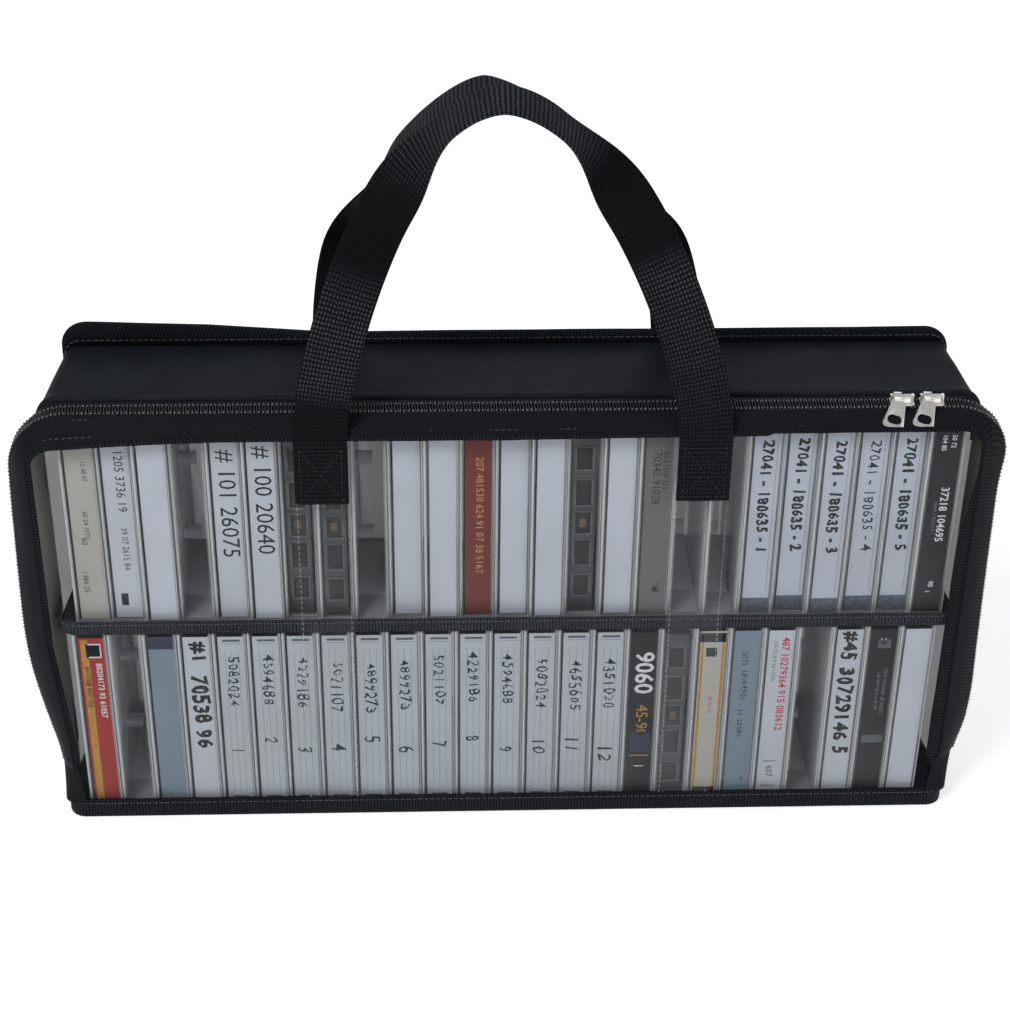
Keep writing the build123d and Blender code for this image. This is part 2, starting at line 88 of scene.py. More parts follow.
FRONT_STRAP = dict(foot_x=89.0, rise=155.6, bow=1.73, crest=1.53, sway=-4.9, turn=82.0,
                   lean=(0.16, 0.95), twist=(0.55, 0.855))
BACK_STRAP = dict(foot_x=83.0, rise=151.2, bow=1.52, crest=2.06, sway=-12.5, turn=90.0,
                  lean=(0.20, 0.88), twist=(0.24, 0.69))


def feet_of(strap):
    """Where along the bag a strap's two feet are sewn."""
    return -strap["foot_x"], strap["foot_x"]


# camera fitted to the photo: metres, and degrees of turn, dip and roll
CAMERA_LENS, CAMERA_PLACE = 78.4, (-0.03786, -0.908, 0.7443)
CAMERA_TURN, CAMERA_DIP, CAMERA_ROLL = -2.26, 32.716, 0.674


def half_width(y):
    """Half width of the bag between its gussets at a depth."""
    return HALF_LIP + (HALF_BACK - HALF_LIP) * (y - LIP_FRONT) / (BACK - LIP_FRONT)


# ---------------------------------------------------------------- properties
def length_of(name, description, default):
    """Property of a length in metres."""
    return bpy.props.FloatProperty(name=name, description=description, default=default,
                                   unit="LENGTH")


def colour_of(name, description, default):
    """Property of a colour."""
    return bpy.props.FloatVectorProperty(name=name, description=description, default=default,
                                         size=3, subtype="COLOR")


class BagSizes(bpy.types.PropertyGroup):
    """Sizes of the webbing, the zip, the thread and the films"""
    strap_width: length_of("Strap width", "Width of the webbing", 0.025)
    strap_thick: length_of("Strap thickness", "Thickness of the webbing", 0.0014)
    knuckle_row: length_of("Weave row", "Pitch of the webbing's weave along the strap", 0.0022)
    knuckle_column: length_of("Weave column", "Pitch of the webbing's weave across it", 0.0016)
    coil_pitch: length_of("Coil pitch", "Distance between the zip's teeth", 0.00135)
    stitch_pitch: length_of("Stitch pitch", "Distance between stitches", 0.0030)
    stitch_length: length_of("Stitch length", "Length of one stitch", 0.0023)
    thread_thick: length_of("Thread", "Thickness of the thread", 0.00042)
    film_wave: length_of("Film waves", "How far the clear sheets wave", 0.0005)


class BagColours(bpy.types.PropertyGroup):
    """Colours of the cloth, the zip, the films and the boxes"""
    cloth: colour_of("Cloth", "Coated cloth of the top", (0.0102, 0.0130, 0.0168))
    binding: colour_of("Binding", "Woven edge bindings and zip tape", (0.0050, 0.0057, 0.0074))
    webbing: colour_of("Webbing", "Webbing of the handles", (0.0052, 0.0057, 0.0072))
    coil: colour_of("Coil", "Nylon teeth of the zip", (0.0060, 0.0068, 0.0085))
    metal: colour_of("Metal", "Plated sliders and pulls", (0.86, 0.83, 0.77))
    film: colour_of("Film", "Clear vinyl of the window", (0.80, 0.82, 0.84))
    side_film: colour_of("Side film", "Slightly smoky vinyl of the sides", (0.30, 0.28, 0.21))
    back_film: colour_of("Back film", "Smoky vinyl of the back", (0.240, 0.232, 0.210))
    box: colour_of("Boxes", "Clear plastic of the cassette boxes", (0.62, 0.64, 0.66))


# ---------------------------------------------------------------- node helpers
class Wire:
    """Output of a node, which adds and multiplies as a number does."""

    def __init__(self, socket):
        self.socket, self.tree = socket, socket.id_data

    def calc(self, operation, *others, clamp=False):
        return add(self.tree, "ShaderNodeMath", dict(enumerate((self, *others))),
                   operation=operation, use_clamp=clamp)[0]

    __add__ = partialmethod(calc, "ADD")
    __sub__ = partialmethod(calc, "SUBTRACT")
    __mul__ = partialmethod(calc, "MULTIPLY")
    __truediv__ = partialmethod(calc, "DIVIDE")
    __pow__ = partialmethod(calc, "POWER")
    __abs__ = partialmethod(calc, "ABSOLUTE")


class Node:
    """Node whose outputs are taken as wires, by name or number."""

    def __init__(self, item):
        self.item = item

    def __getitem__(self, key):
        return Wire(self.item.outputs[key])


def feed(item, feeds):
    """Set a node's inputs to values, or link them to wires."""
    for key, value in feeds.items():
        if isinstance(value, Wire):
            item.id_data.links.new(value.socket, item.inputs[key])
        else:
            item.inputs[key].default_value = value


def add(tree, kind, feeds=None, **settings):
    """Add a node with its settings; feeds gives its inputs as values or wires."""
    item = tree.nodes.new(kind)
    for key, value in settings.items():
        setattr(item, key, value)
    feed(item, feeds or {})
    return Node(item)


def spread(value, low, high, to_low=0.0, to_high=1.0):
    """Map a value from one range to another, clamped."""
    feeds = {"Value": value, "From Min": low, "From Max": high, "To Min": to_low,
             "To Max": to_high}
    return add(value.tree, "ShaderNodeMapRange", feeds)[0]


def mixed(factor, a, b, mode="MIX"):
    """Colour between two, or blended as the mode says."""
    tree = next(value.tree for value in (factor, a, b) if isinstance(value, Wire))
    return add(tree, "ShaderNodeMix", {0: factor, 6: a, 7: b}, data_type="RGBA",
               blend_type=mode)[2]


def rgba(colour, gain=1.0):
    """Colour made lighter or darker, with full alpha."""
    return (*[channel * gain for channel in colour[:3]], 1.0)


def cloud(place, scale, detail=2.0, roughness=0.5):
    """Noise over a position."""
    return add(place.tree, "ShaderNodeTexNoise", {"Vector": place, "Scale": scale,
                                                  "Detail": detail, "Roughness": roughness})["Fac"]


def axes(place):
    """Node that gives a position's three numbers."""
    return add(place.tree, "ShaderNodeSeparateXYZ", {0: place})


def bump(height, distance, strength=1.0):
    """Normal of a surface with a height, whose full range is a distance in metres."""
    return add(height.tree, "ShaderNodeBump", {"Height": height, "Distance": distance,
                                               "Strength": strength})[0]


def slant(place, blend):
    """How far a surface is seen aslant."""
    return add(place.tree, "ShaderNodeLayerWeight", {"Blend": blend})["Facing"]


def new_sockets(tree, sockets):
    """Give a node group its inputs: label, kind and default of each."""
    for label, kind, default in sockets:
        made = tree.interface.new_socket(label, in_out="INPUT", socket_type=f"NodeSocket{kind}")
        if default is not None:
            made.default_value = default


def built_group(name, values, fill):
    """Shader node group on a position, built once; fill gives its outputs from its inputs."""
    if name in bpy.data.node_groups:
        return bpy.data.node_groups[name]
    tree = bpy.data.node_groups.new(name, "ShaderNodeTree")
    new_sockets(tree, [("Vector", "Vector", None)]
                + [(label, "Float", value) for label, value in values.items()])
    outputs = fill(Node(tree.nodes.new("NodeGroupInput")))
    for label in outputs:
        tree.interface.new_socket(label, in_out="OUTPUT", socket_type="NodeSocketFloat")
    feed(tree.nodes.new("NodeGroupOutput"), outputs)
    return tree


def pattern(name, **values):
    """Turn a function that fills a node group into one that places the group on a position."""
    return lambda fill: lambda place, **own: add(
        place.tree, "ShaderNodeGroup", {"Vector": place, **own},
        node_tree=built_group(name, values, fill))


def look(fill):
    """Turn a function that gives a shader's inputs on a position into one that makes a material."""
    def make(name, *values, **more):
        made = bpy.data.materials.new(name)
        made.use_nodes = True
        place = add(made.node_tree, "ShaderNodeTexCoord")["Object"]
        feed(made.node_tree.nodes["Principled BSDF"], fill(place, *values, **more))
        return made
    return make


# ---------------------------------------------------------------- surface patterns
@pattern("Knuckle weave", Row=0.0022, Column=0.0016, Stagger=0.0)
def knuckle_weave(given):
    """Rows of knuckles of a plain weave, on a UV map in metres along and across the strap."""
    u, v, _ = axes(given["Vector"])
    drift = cloud(given["Vector"], 260.0, 1.0) * 0.5
    along, across = u / given["Row"] + drift, v / given["Column"] + drift
    odd = along.calc("FLOOR") * given["Stagger"]
    row = abs((along * math.pi).calc("SINE"))
    column = abs(((across + odd) * math.pi).calc("SINE"))
    height = row ** 0.7 * column ** 0.6
    return {"Height": height, "Lit": height ** 2.2}


@pattern("Cloth grain", Threads=700.0)
def cloth_grain(given):
    """Fine coated cloth: a faint weave, broad mottling and creases."""
    place = given["Vector"]
    weave = add(place.tree, "ShaderNodeTexWave", {"Vector": place, "Scale": given["Threads"],
                                                  "Distortion": 0.6, "Detail": 1.0},
                wave_type="BANDS", bands_direction="DIAGONAL")["Fac"]
    fuzz = cloud(place, 900.0)
    return {"Height": weave * 0.5 + fuzz * 0.5, "Shade": cloud(place, 34.0, 4.0, 0.6),
            "Fuzz": fuzz}


@pattern("Lint", Amount=0.5)
def lint(given):
    """Sparse pale specks and short fibres that black cloth picks up."""
    place = given["Vector"]
    spots = add(place.tree, "ShaderNodeTexVoronoi", {"Vector": place, "Scale": 170.0},
                feature="F1")
    near = spread(spots["Distance"], 0.02, 0.12, 1.0, 0.0)
    return {"Mask": near * spread(cloud(place, 60.0), 0.60, 0.72) * given["Amount"]}


@pattern("Film haze", Amount=0.1)
def film_haze(given):
    """Soft vinyl: broad haze, faint streaks and a slow ripple."""
    place = given["Vector"]
    drawn = add(place.tree, "ShaderNodeMapping", {"Vector": place, "Scale": (1.0, 1.0, 0.25)})[0]
    haze = (spread(cloud(drawn, 11.0, 3.0), 0.35, 0.7, 0.0, 0.8)
            + spread(cloud(drawn, 120.0), 0.62, 0.8, 0.0, 0.6))
    return {"Haze": haze * given["Amount"], "Ripple": cloud(place, 26.0, 1.0)}


@pattern("Fine scratches", Scale=700.0)
def fine_scratches(given):
    """Hair scratches and small dents of a handled surface."""
    place = given["Vector"]
    drawn = add(place.tree, "ShaderNodeMapping", {"Vector": place, "Rotation": (0.3, 0.9, 0.5),
                                                  "Scale": (1.0, 9.0, 1.0)})[0]
    return {"Scratch": spread(cloud(drawn, given["Scale"], 3.0), 0.45, 0.75),
            "Dent": cloud(place, 300.0)}


@pattern("Box walls", First=0.0, Low=0.0)
def box_walls(given):
    """Where the walls and the foot of each box of a row lie, and the lit line along them."""
    x, _, z = axes(given["Vector"])
    cell = ((x - given["First"]) / (BOX_PITCH * MM)).calc("FRACT")
    aside, rise = abs(cell - 0.497), z - given["Low"]
    wall = spread(aside, 0.385, 0.41).calc("MAXIMUM", spread(rise, 0.0020, 0.0026, 2.4, 0.0))
    line = spread(abs(aside - 0.462), 0.008, 0.020, 1.0, 0.0)
    foot = spread(abs(rise - 0.0004), 0.0002, 0.0004, 1.0, 0.0)
    return {"Wall": wall, "Edge": line.calc("MAXIMUM", foot)}


# ---------------------------------------------------------------- materials
@look
def cloth(place, colour, roughness=0.6):
    """Coated cloth with a little lint on it."""
    grain, specks = cloth_grain(place, Threads=700.0), lint(place, Amount=0.35)
    shade = mixed(spread(grain["Shade"], 0.3, 0.7), rgba(colour, 0.82), rgba(colour, 1.25))
    return {"Base Color": mixed(specks["Mask"], shade, rgba(colour, 6.0)),
            "Roughness": spread(grain["Fuzz"], 0.3, 0.7, roughness - 0.1, roughness + 0.1),
            "Specular IOR Level": 0.12, "Normal": bump(grain["Height"], 0.00012)}


@look
def woven(place, colour, row=0.0016, column=0.0015, stagger=0.5, relief=0.0003, contrast=8.0,
          pressed_and_shaded=False):
    """Woven band or strap, on its own UV map in metres; knuckle tops take a painted highlight and
    the gaps painted shade, and where the strap is marked its weave is flatter and its colour darker
    as painted shade.
    """
    weave = knuckle_weave(add(place.tree, "ShaderNodeUVMap", uv_map="Weave")[0], Row=row,
                          Column=column, Stagger=stagger)
    grain, specks = cloth_grain(place, Threads=900.0), lint(place, Amount=0.3)
    lit, height = weave["Lit"], weave["Height"]
    # Where the strap is marked, the weave's bump is flattened and its painted highlight taken away,
    # which leaves painted shade.
    if pressed_and_shaded:
        flat = add(place.tree, "ShaderNodeAttribute", attribute_name="pressed_and_shaded")["Fac"]
        rest = flat * -0.97 + 1.0
        lit, height = lit * rest, height * rest
    # Knuckle tops are painted lighter and the gaps darker: painted highlight and painted shade of
    # the weave.
    shade = mixed(lit, rgba(colour, 0.35), rgba(colour, contrast))
    shade = mixed(spread(grain["Shade"], 0.35, 0.7, 0.0, 0.5), shade, rgba(colour, 0.7))
    return {"Base Color": mixed(specks["Mask"], shade, rgba(colour, 7.0)),
            "Roughness": spread(weave["Height"], 0.0, 1.0, 0.85, 0.5),
            "Specular IOR Level": 0.10, "Normal": bump(height, relief)}


@look
def film(place, colour, haze, clearness, edge, roughness=0.12):
    """Clear sheet: mostly see-through, more solid where it is seen aslant or is hazy."""
    sheet = film_haze(place, Amount=haze)
    solid = slant(place, 0.35) ** 3.0 * edge + clearness
    return {"Alpha": solid.calc("ADD", sheet["Haze"], clamp=True), "Base Color": rgba(colour),
            "Roughness": roughness, "Specular IOR Level": 1.0, "Coat Weight": 0.6,
            "Coat Roughness": 0.05, "Normal": bump(sheet["Ripple"], 0.002, 0.5)}


@look
def box_plastic(place, colour, clearness, first, low):
    """Clear moulding of a row of boxes; their walls and feet gather light, with a lit edge."""
    marks = fine_scratches(place, Scale=240.0)
    walls = box_walls(place, First=first * MM, Low=low * MM)
    solid = slant(place, 0.4) ** 2.5 * 0.5 + clearness + walls["Wall"] * 0.22 + walls["Edge"] * 0.27
    # The lit line along walls and feet is a painted highlight: lighter in colour and more solid.
    return {"Alpha": solid.calc("ADD", marks["Scratch"] * 0.010, clamp=True),
            "Base Color": mixed(walls["Edge"], rgba(colour), rgba(colour, 1.35)),
            "Roughness": spread(marks["Scratch"], 0.0, 1.0, 0.08, 0.3),
            "Specular IOR Level": 1.0}


@look
def plated(place, colour):
    """Nickel plate with hair scratches."""
    marks = fine_scratches(place, Scale=900.0)
    return {"Base Color": mixed(marks["Scratch"], rgba(colour), rgba(colour, 0.72)),
            "Roughness": spread(marks["Scratch"], 0.0, 1.0, 0.22, 0.42), "Metallic": 0.62,
            "Normal": bump(marks["Dent"], 0.0003, 0.35)}


@look
def moulded(place, colour, roughness):
    """Moulded plastic of the cassettes."""
    marks = fine_scratches(place, Scale=500.0)
    return {"Base Color": mixed(marks["Scratch"], rgba(colour), rgba(colour, 1.3)),
            "Roughness": spread(marks["Dent"], 0.3, 0.7, roughness - 0.08, roughness + 0.1),
            "Normal": bump(marks["Dent"], 0.00006)}


@look
def nylon(place, dull, lit, smooth, rough, specular=0.5):
    """Nylon teeth and their sewing, uneven from spot to spot."""
    dent = fine_scratches(place, Scale=900.0)["Dent"]
    return {"Base Color": mixed(dent, rgba(dull), rgba(lit)),
            "Roughness": spread(dent, 0.3, 0.7, smooth, rough), "Specular IOR Level": specular}


@look
def thread(place, colour):
    """Twisted sewing thread."""
    twist = add(place.tree, "ShaderNodeTexWave", {"Vector": place, "Scale": 2200.0,
                                                  "Distortion": 1.0})["Fac"]
    return {"Base Color": mixed(twist, rgba(colour, 0.7), rgba(colour, 1.3)), "Roughness": 0.5,
            "Normal": bump(twist, 0.0001)}


@look
def paper(place, colour, low_colour=None):
    """Card, slightly uneven and soiled towards a warmer grey; the lower row may differ."""
    fibre = cloud(place, 1500.0)
    _, _, z = axes(place)
    upper = z.calc("GREATER_THAN", SHELF_UNDER * MM)
    shade = mixed(upper, rgba(low_colour or colour), rgba(colour))
    dull = mixed(1.0, shade, (0.80, 0.79, 0.75, 1.0), "MULTIPLY")
    soil = spread(cloud(place, 22.0, 3.0), 0.35, 0.75, 0.0, 0.6)
    return {"Base Color": mixed(soil, shade, dull),
            "Roughness": spread(fibre, 0.3, 0.7, 0.45, 0.6), "Specular IOR Level": 0.2,
            "Normal": bump(fibre, 0.00001)}


@look
def ink(place, colour):
    """Print or pen ink, unevenly laid down."""
    pale = [min(1.0, c * 1.6 + 0.03) for c in colour]
    return {"Base Color": mixed(spread(cloud(place, 700.0), 0.4, 0.75), rgba(colour), rgba(pale)),
            "Roughness": 0.5, "Specular IOR Level": 0.2}


@look
def pale_floor(place):
    """Floor that the camera sees almost white."""
    path = add(place.tree, "ShaderNodeLightPath")
    seen = path["Is Camera Ray"].calc("MAXIMUM", path["Is Transmission Ray"].calc(
        "MAXIMUM", path["Is Glossy Ray"]))
    return {"Base Color": mixed(cloud(place, 3.0), rgba([0.93] * 3), rgba([0.95] * 3)),
            "Roughness": 0.8, "Emission Color": rgba([1.0] * 3), "Emission Strength": seen * 0.55}


# ---------------------------------------------------------------- mesh helpers
def new_object(name, data):
    """Object of a mesh, a text, a camera or a lamp, linked to the scene."""
    made = bpy.data.objects.new(name, data)
    bpy.context.scene.collection.objects.link(made)
    return made


def worked_out(item, keep_layers=False):
    """Plain mesh of an object, as its modifiers or its text make it."""
    graph = bpy.context.evaluated_depsgraph_get()
    more = dict(preserve_all_data_layers=True, depsgraph=graph) if keep_layers else {}
    return bpy.data.meshes.new_from_object(item.evaluated_get(graph), **more)


def smoothed(mesh, smooth=True):
    """Shade a mesh smooth, or flat."""
    mesh.polygons.foreach_set("use_smooth", [smooth] * len(mesh.polygons))


def mesh_object(name, points, faces, finish=None, uv=None, smooth=True):
    """New object from points in millimetres; uv gives one (u, v) in metres for each point."""
    mesh = bpy.data.meshes.new(name)
    mesh.from_pydata([[c * MM for c in p] for p in points], [], faces)
    if uv is not None:
        layer = mesh.uv_layers.new(name="Weave")
        spots = np.array([uv[loop.vertex_index] for loop in mesh.loops], float)
        layer.data.foreach_set("uv", spots.ravel())
    smoothed(mesh, smooth)
    if finish:
        mesh.materials.append(finish)
    return new_object(name, mesh)


def quads(rows, columns, flip=False, tube=False, ring=False, start=0):
    """Faces over a grid of points; a tube closes its rows, a ring joins its last to its first."""
    faces = []
    for i in range(rows if ring else rows - 1):
        n = (i + 1) % rows
        for j in range(columns if tube else columns - 1):
            k = (j + 1) % columns
            corners = (i * columns + j, i * columns + k, n * columns + k, n * columns + j)
            face = tuple(start + corner for corner in corners)
            faces.append(face[::-1] if flip else face)
    return faces


def end_caps(rows, columns):
    """Faces that close the two ends of a tube."""
    first, last = range(columns), range((rows - 1) * columns, rows * columns)
    return [tuple(first)[::-1], tuple(last)]


def run_of(points, axis=0):
    """Distance travelled along an array of points."""
    steps = np.linalg.norm(np.diff(points, axis=axis), axis=-1)
    return np.insert(np.cumsum(steps, axis=axis), 0, 0.0, axis=axis)


def sheet_object(name, grid, finish, flip=False):
    """Surface over rows of points; its UV map runs in metres along and across them."""
    grid = np.array(grid)
    rows, columns = grid.shape[:2]
    uv = np.stack([run_of(grid, 1), run_of(grid, 0)], axis=2).reshape(-1, 2) * MM
    return mesh_object(name, grid.reshape(-1, 3).tolist(), quads(rows, columns, flip), finish, uv)


def loop_object(name, grid, finish, ring=False, flip=False, uv=None):
    """Tube over rows that are closed cross-sections, in order along the piece."""
    grid = np.array(grid)
    rows, columns = grid.shape[:2]
    faces = quads(rows, columns, flip, True, ring)
    if not ring:
        faces += [face[::-1] if flip else face for face in end_caps(rows, columns)]
    if uv is None:
        along = np.broadcast_to(run_of(grid).mean(1)[:, None], (rows, columns))
        uv = np.stack([along, run_of(grid, 1)], axis=2).reshape(-1, 2) * MM
    return mesh_object(name, grid.reshape(-1, 3).tolist(), faces, finish, uv)


def thicken(piece, thick):
    """Give a sheet its thickness, inwards."""
    solid = piece.modifiers.new("Thickness", "SOLIDIFY")
    solid.thickness = thick * MM
    solid.offset = -1.0
    solid.use_even_offset = True
    return piece


def settle(piece, body, *stands_for, slot=None, fold=None):
    """Turn modifiers into plain mesh, then hand the piece to its body; a piece given a fold only
    has its place baked into its mesh.
    """
    if piece.modifiers:
        mesh = worked_out(piece, keep_layers=True)
        piece.modifiers.clear()
        piece.data = mesh
    if fold:
        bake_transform(piece)
    else:
        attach(piece, body)
    if stands_for:
        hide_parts(*stands_for)
    return piece


def softened(node, name, finish, width, body, segments=2, slot=None):
    """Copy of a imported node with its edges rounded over."""
    shape = bmesh.new()
    shape.from_mesh(nodes[node].data)
    bmesh.ops.remove_doubles(shape, verts=shape.verts, dist=2e-6)
    bmesh.ops.dissolve_limit(shape, angle_limit=math.radians(1.0), verts=shape.verts,
                             edges=shape.edges)
    mesh = bpy.data.meshes.new(name)
    shape.to_mesh(mesh)
    shape.free()
    mesh.materials.append(finish)
    made = new_object(name, mesh)
    rounding = made.modifiers.new("Edges", "BEVEL")
    rounding.width = width * MM
    rounding.segments = segments
    rounding.limit_method = "ANGLE"
    rounding.angle_limit = math.radians(30)
    rounding.harden_normals = True
    smoothed(mesh)
    return settle(made, body, node, slot=slot)


def part_way(value, start, end):
    """How far a value is from start to end, between 0 and 1."""
    return np.clip((value - start) / (end - start), 0.0, 1.0)


def ease(share):
    """Share from 0 to 1 that starts and ends slowly."""
    share = np.clip(share, 0.0, 1.0)
    return share * share * (3 - 2 * share)


def arch(half, top, corner, low, foot=None, legs=(10, 16), arc=12, across=60):
    """Points (x, z) up the left side, over the top and down the right.

    The counts stay the same from arch to arch, so that a surface can run over several.
    """
    lower, upper = legs
    if foot is None:
        heights = np.linspace(low, top - corner, lower + upper, endpoint=False)
        left = [(-half, z) for z in heights]
    else:
        left = [(-foot + (foot - half) * t, low + (ZIP_KNEE - low) * t)
                for t in np.linspace(0, 1, lower, endpoint=False)]
        left += [(-half, z) for z in np.linspace(ZIP_KNEE, top - corner, upper, endpoint=False)]
    for turn in np.linspace(0, math.pi / 2, arc, endpoint=False):
        left.append((-half + corner * (1 - math.cos(turn)), top - corner * (1 - math.sin(turn))))
    straight = half - corner
    left += [(x, top) for x in np.linspace(-straight, 0, across // 2, endpoint=False)]
    right = [(-x, z) for x, z in reversed(left)]
    return np.array(left + [(0.0, top)] + right)


# half widths of the zip's outline by height: it bulges more on the left, and lower on the right
LEFT_SIDE = ((30, 226.0), (40, 227.2), (58, 231.0), (76, 234.2), (92, 236.4), (112, 237.4),
             (150, 236.6), (185, 235.6), (212, 234.4))
RIGHT_SIDE = ((30, 228.4), (45, 232.8), (69, 234.0), (90, 233.2), (135, 232.2), (190, 231.2),
              (208, 233.0), (225, 234.5))


def zip_arch(below=0.0, low=FOLD, **counts):
    """Arch of the zip, eased out from its plain shape to the bulging outline of its sides."""
    line = arch(ZIP_HALF - below, ZIP_TOP - below, ZIP_CORNER - below, low, ZIP_FOOT - below,
                **counts)
    plain = np.interp(line[:, 1], (low, ZIP_KNEE), (ZIP_FOOT, ZIP_HALF))
    for side, table in ((-1, LEFT_SIDE), (1, RIGHT_SIDE)):
        heights, halves = zip(*table)
        want = np.mean([np.interp(line[:, 1] + shift, heights, halves)
                        for shift in (-9, -6, -3, 0, 3, 6, 9)], axis=0)
        line[:, 0] += side * (want - plain) * ease((line[:, 0] * side - 140) / 70)
    return line


def window_arch(low, foot=None, **counts):
    """Arch of the window's seam in its pulled shape."""
    return drawn_aside(arch(WINDOW_HALF, WINDOW_TOP, WINDOW_CORNER, low, foot, **counts))


def drawn_aside(line):
    """Ease (x, z) points of the window's outline to its pulled shape: left side out, top aslant."""
    x, z = line[:, 0].copy(), line[:, 1].copy()
    left, high = part_way(-x, 120, 218), part_way(z, 150, 220)
    line[:, 0] -= 5.6 * left ** 3 * part_way(z, 45, 110)
    line[:, 1] -= 4.6 * left ** 2 * high
    line[:, 1] += 1.2 * part_way(x, 0, 150) * high
    return line


def sideways(line, run=None):
    """Unit normals of (x, y) or (x, z) points: away from the bag on an arch."""
    run = np.gradient(line, axis=0) if run is None else run
    normal = np.stack([-run[:, 1], run[:, 0]], axis=1)
    return normal / np.linalg.norm(normal, axis=1, keepdims=True)


def at_depth(line, y):
    """Lift (x, z) points into the frame at a depth, which may vary."""
    return np.stack([line[:, 0], np.broadcast_to(y, len(line)), line[:, 1]], axis=1)


def ripple(point, scale, seed):
    """Slow noise from about -1 to 1 at a point, with waves of about the scale."""
    return noise.noise(Vector([c / scale for c in point]) + Vector((seed * 7.1, seed * 3.3, seed)))


def wave_grid(grid, push, amount, scale, seed, hold):
    """Push a grid's points along a direction by a slow noise, held at its first and last rows."""
    grid, push = np.array(grid), np.array(push)
    for i, row in enumerate(grid):
        reach = amount * min(1.0, min(i, len(grid) - 1 - i) / hold)
        for point in row:
            point += push * ripple(point, scale, seed) * reach
    return grid


# ---------------------------------------------------------------- stitches, teeth: Geometry Nodes
def repeat_tree():
    """Node tree that sets a shape along the paths of a mesh, turned to each path and its face."""
    name = "Repeat along a path"
    if name in bpy.data.node_groups:
        return bpy.data.node_groups[name]
    tree = bpy.data.node_groups.new(name, "GeometryNodeTree")
    new_sockets(tree, (("Path", "Geometry", None), ("Shape", "Object", None),
                       ("Pitch", "Float", 0.003), ("Unevenness", "Float", 0.05),
                       ("Seed", "Int", 1), ("Finish", "Material", None)))
    tree.interface.new_socket("Geometry", in_out="OUTPUT", socket_type="NodeSocketGeometry")
    given = Node(tree.nodes.new("NodeGroupInput"))
    line = add(tree, "GeometryNodeMeshToCurve", {"Mesh": given["Path"]})[0]
    even = add(tree, "GeometryNodeResampleCurve", {"Curve": line, "Length": given["Pitch"]},
               mode="LENGTH")[0]
    along = add(tree, "GeometryNodeInputTangent")[0]
    facing = add(tree, "GeometryNodeInputNamedAttribute", {"Name": "facing"},
                 data_type="FLOAT_VECTOR")[0]
    turned = add(tree, "FunctionNodeAlignRotationToVector", {"Vector": along}, axis="X")[0]
    turned = add(tree, "FunctionNodeAlignRotationToVector",
                 {"Rotation": turned, "Vector": facing}, axis="Z", pivot_axis="X")[0]
    shape = add(tree, "GeometryNodeObjectInfo", {"Object": given["Shape"]})["Geometry"]
    uneven = given["Unevenness"]
    size = add(tree, "FunctionNodeRandomValue", {2: uneven * -1.0 + 1.0, 3: uneven + 1.0,
                                                 "Seed": given["Seed"]}, data_type="FLOAT")[1]
    placed = add(tree, "GeometryNodeInstanceOnPoints",
                 {"Points": even, "Instance": shape, "Rotation": turned, "Scale": size})[0]
    whole = add(tree, "GeometryNodeRealizeInstances", {0: placed})[0]
    done = add(tree, "GeometryNodeSetMaterial", {"Geometry": whole, "Material": given["Finish"]})
    feed(tree.nodes.new("NodeGroupOutput"), {"Geometry": done[0]})
    return tree


def repeat_along(name, paths, shape, pitch, finish, unevenness, seed):
    """Plain mesh of a shape set along paths of (points in mm, facing directions, is it closed)."""
    points, facings, edges = [], [], []
    for line, facing, ring in paths:
        start = len(points)
        points += [[c * MM for c in p] for p in line]
        facings += list(facing)
        edges += [(start + k, start + k + 1) for k in range(len(line) - 1)]
        if ring:
            edges.append((len(points) - 1, start))
    mesh = bpy.data.meshes.new(name)
    mesh.from_pydata(points, edges, [])
    layer = mesh.attributes.new("facing", "FLOAT_VECTOR", "POINT")
    layer.data.foreach_set("vector", np.array(facings, float).ravel())
    made = new_object(name, mesh)
    modifier = made.modifiers.new("Repeat", "NODES")
    modifier.node_group = repeat_tree()
    values = {"Shape": shape, "Pitch": pitch, "Unevenness": unevenness, "Seed": seed,
              "Finish": finish}
    for socket in modifier.node_group.interface.items_tree:
        if socket.item_type == "SOCKET" and socket.in_out == "INPUT" and socket.name in values:
            modifier[socket.identifier] = values[socket.name]
    plain = worked_out(made)
    made.modifiers.clear()
    made.data = plain
    smoothed(plain)
    return made


def facing_out(line):
    """Directions away from the bag along an arch (x, z)."""
    return [(n[0], 0.0, n[1]) for n in sideways(line)]


SIDES = 6
AROUND = [(math.cos(turn), math.sin(turn))
          for turn in np.linspace(0, 2 * math.pi, SIDES, endpoint=False)]


def bead(name, length, width, rise):
    """Low rounded bead that lies along X with its underside sunk into the cloth."""
    sunk = -rise * 0.3
    points = [(-length / 2, 0, sunk)]
    for share, girth in ((-0.42, 0.7), (-0.18, 1.0), (0.18, 1.0), (0.42, 0.7)):
        points += [(share * length, c * width / 2 * girth, s * rise * girth + sunk * (1 - girth))
                   for c, s in AROUND]
    points.append((length / 2, 0, sunk))
    last = len(points) - 1
    before = last - SIDES
    faces = [(0, 1 + (k + 1) % SIDES, 1 + k) for k in range(SIDES)]
    faces += quads(4, SIDES, tube=True, start=1)
    faces += [(before + k, before + (k + 1) % SIDES, last) for k in range(SIDES)]
    return mesh_object(name, points, faces, smooth=False)


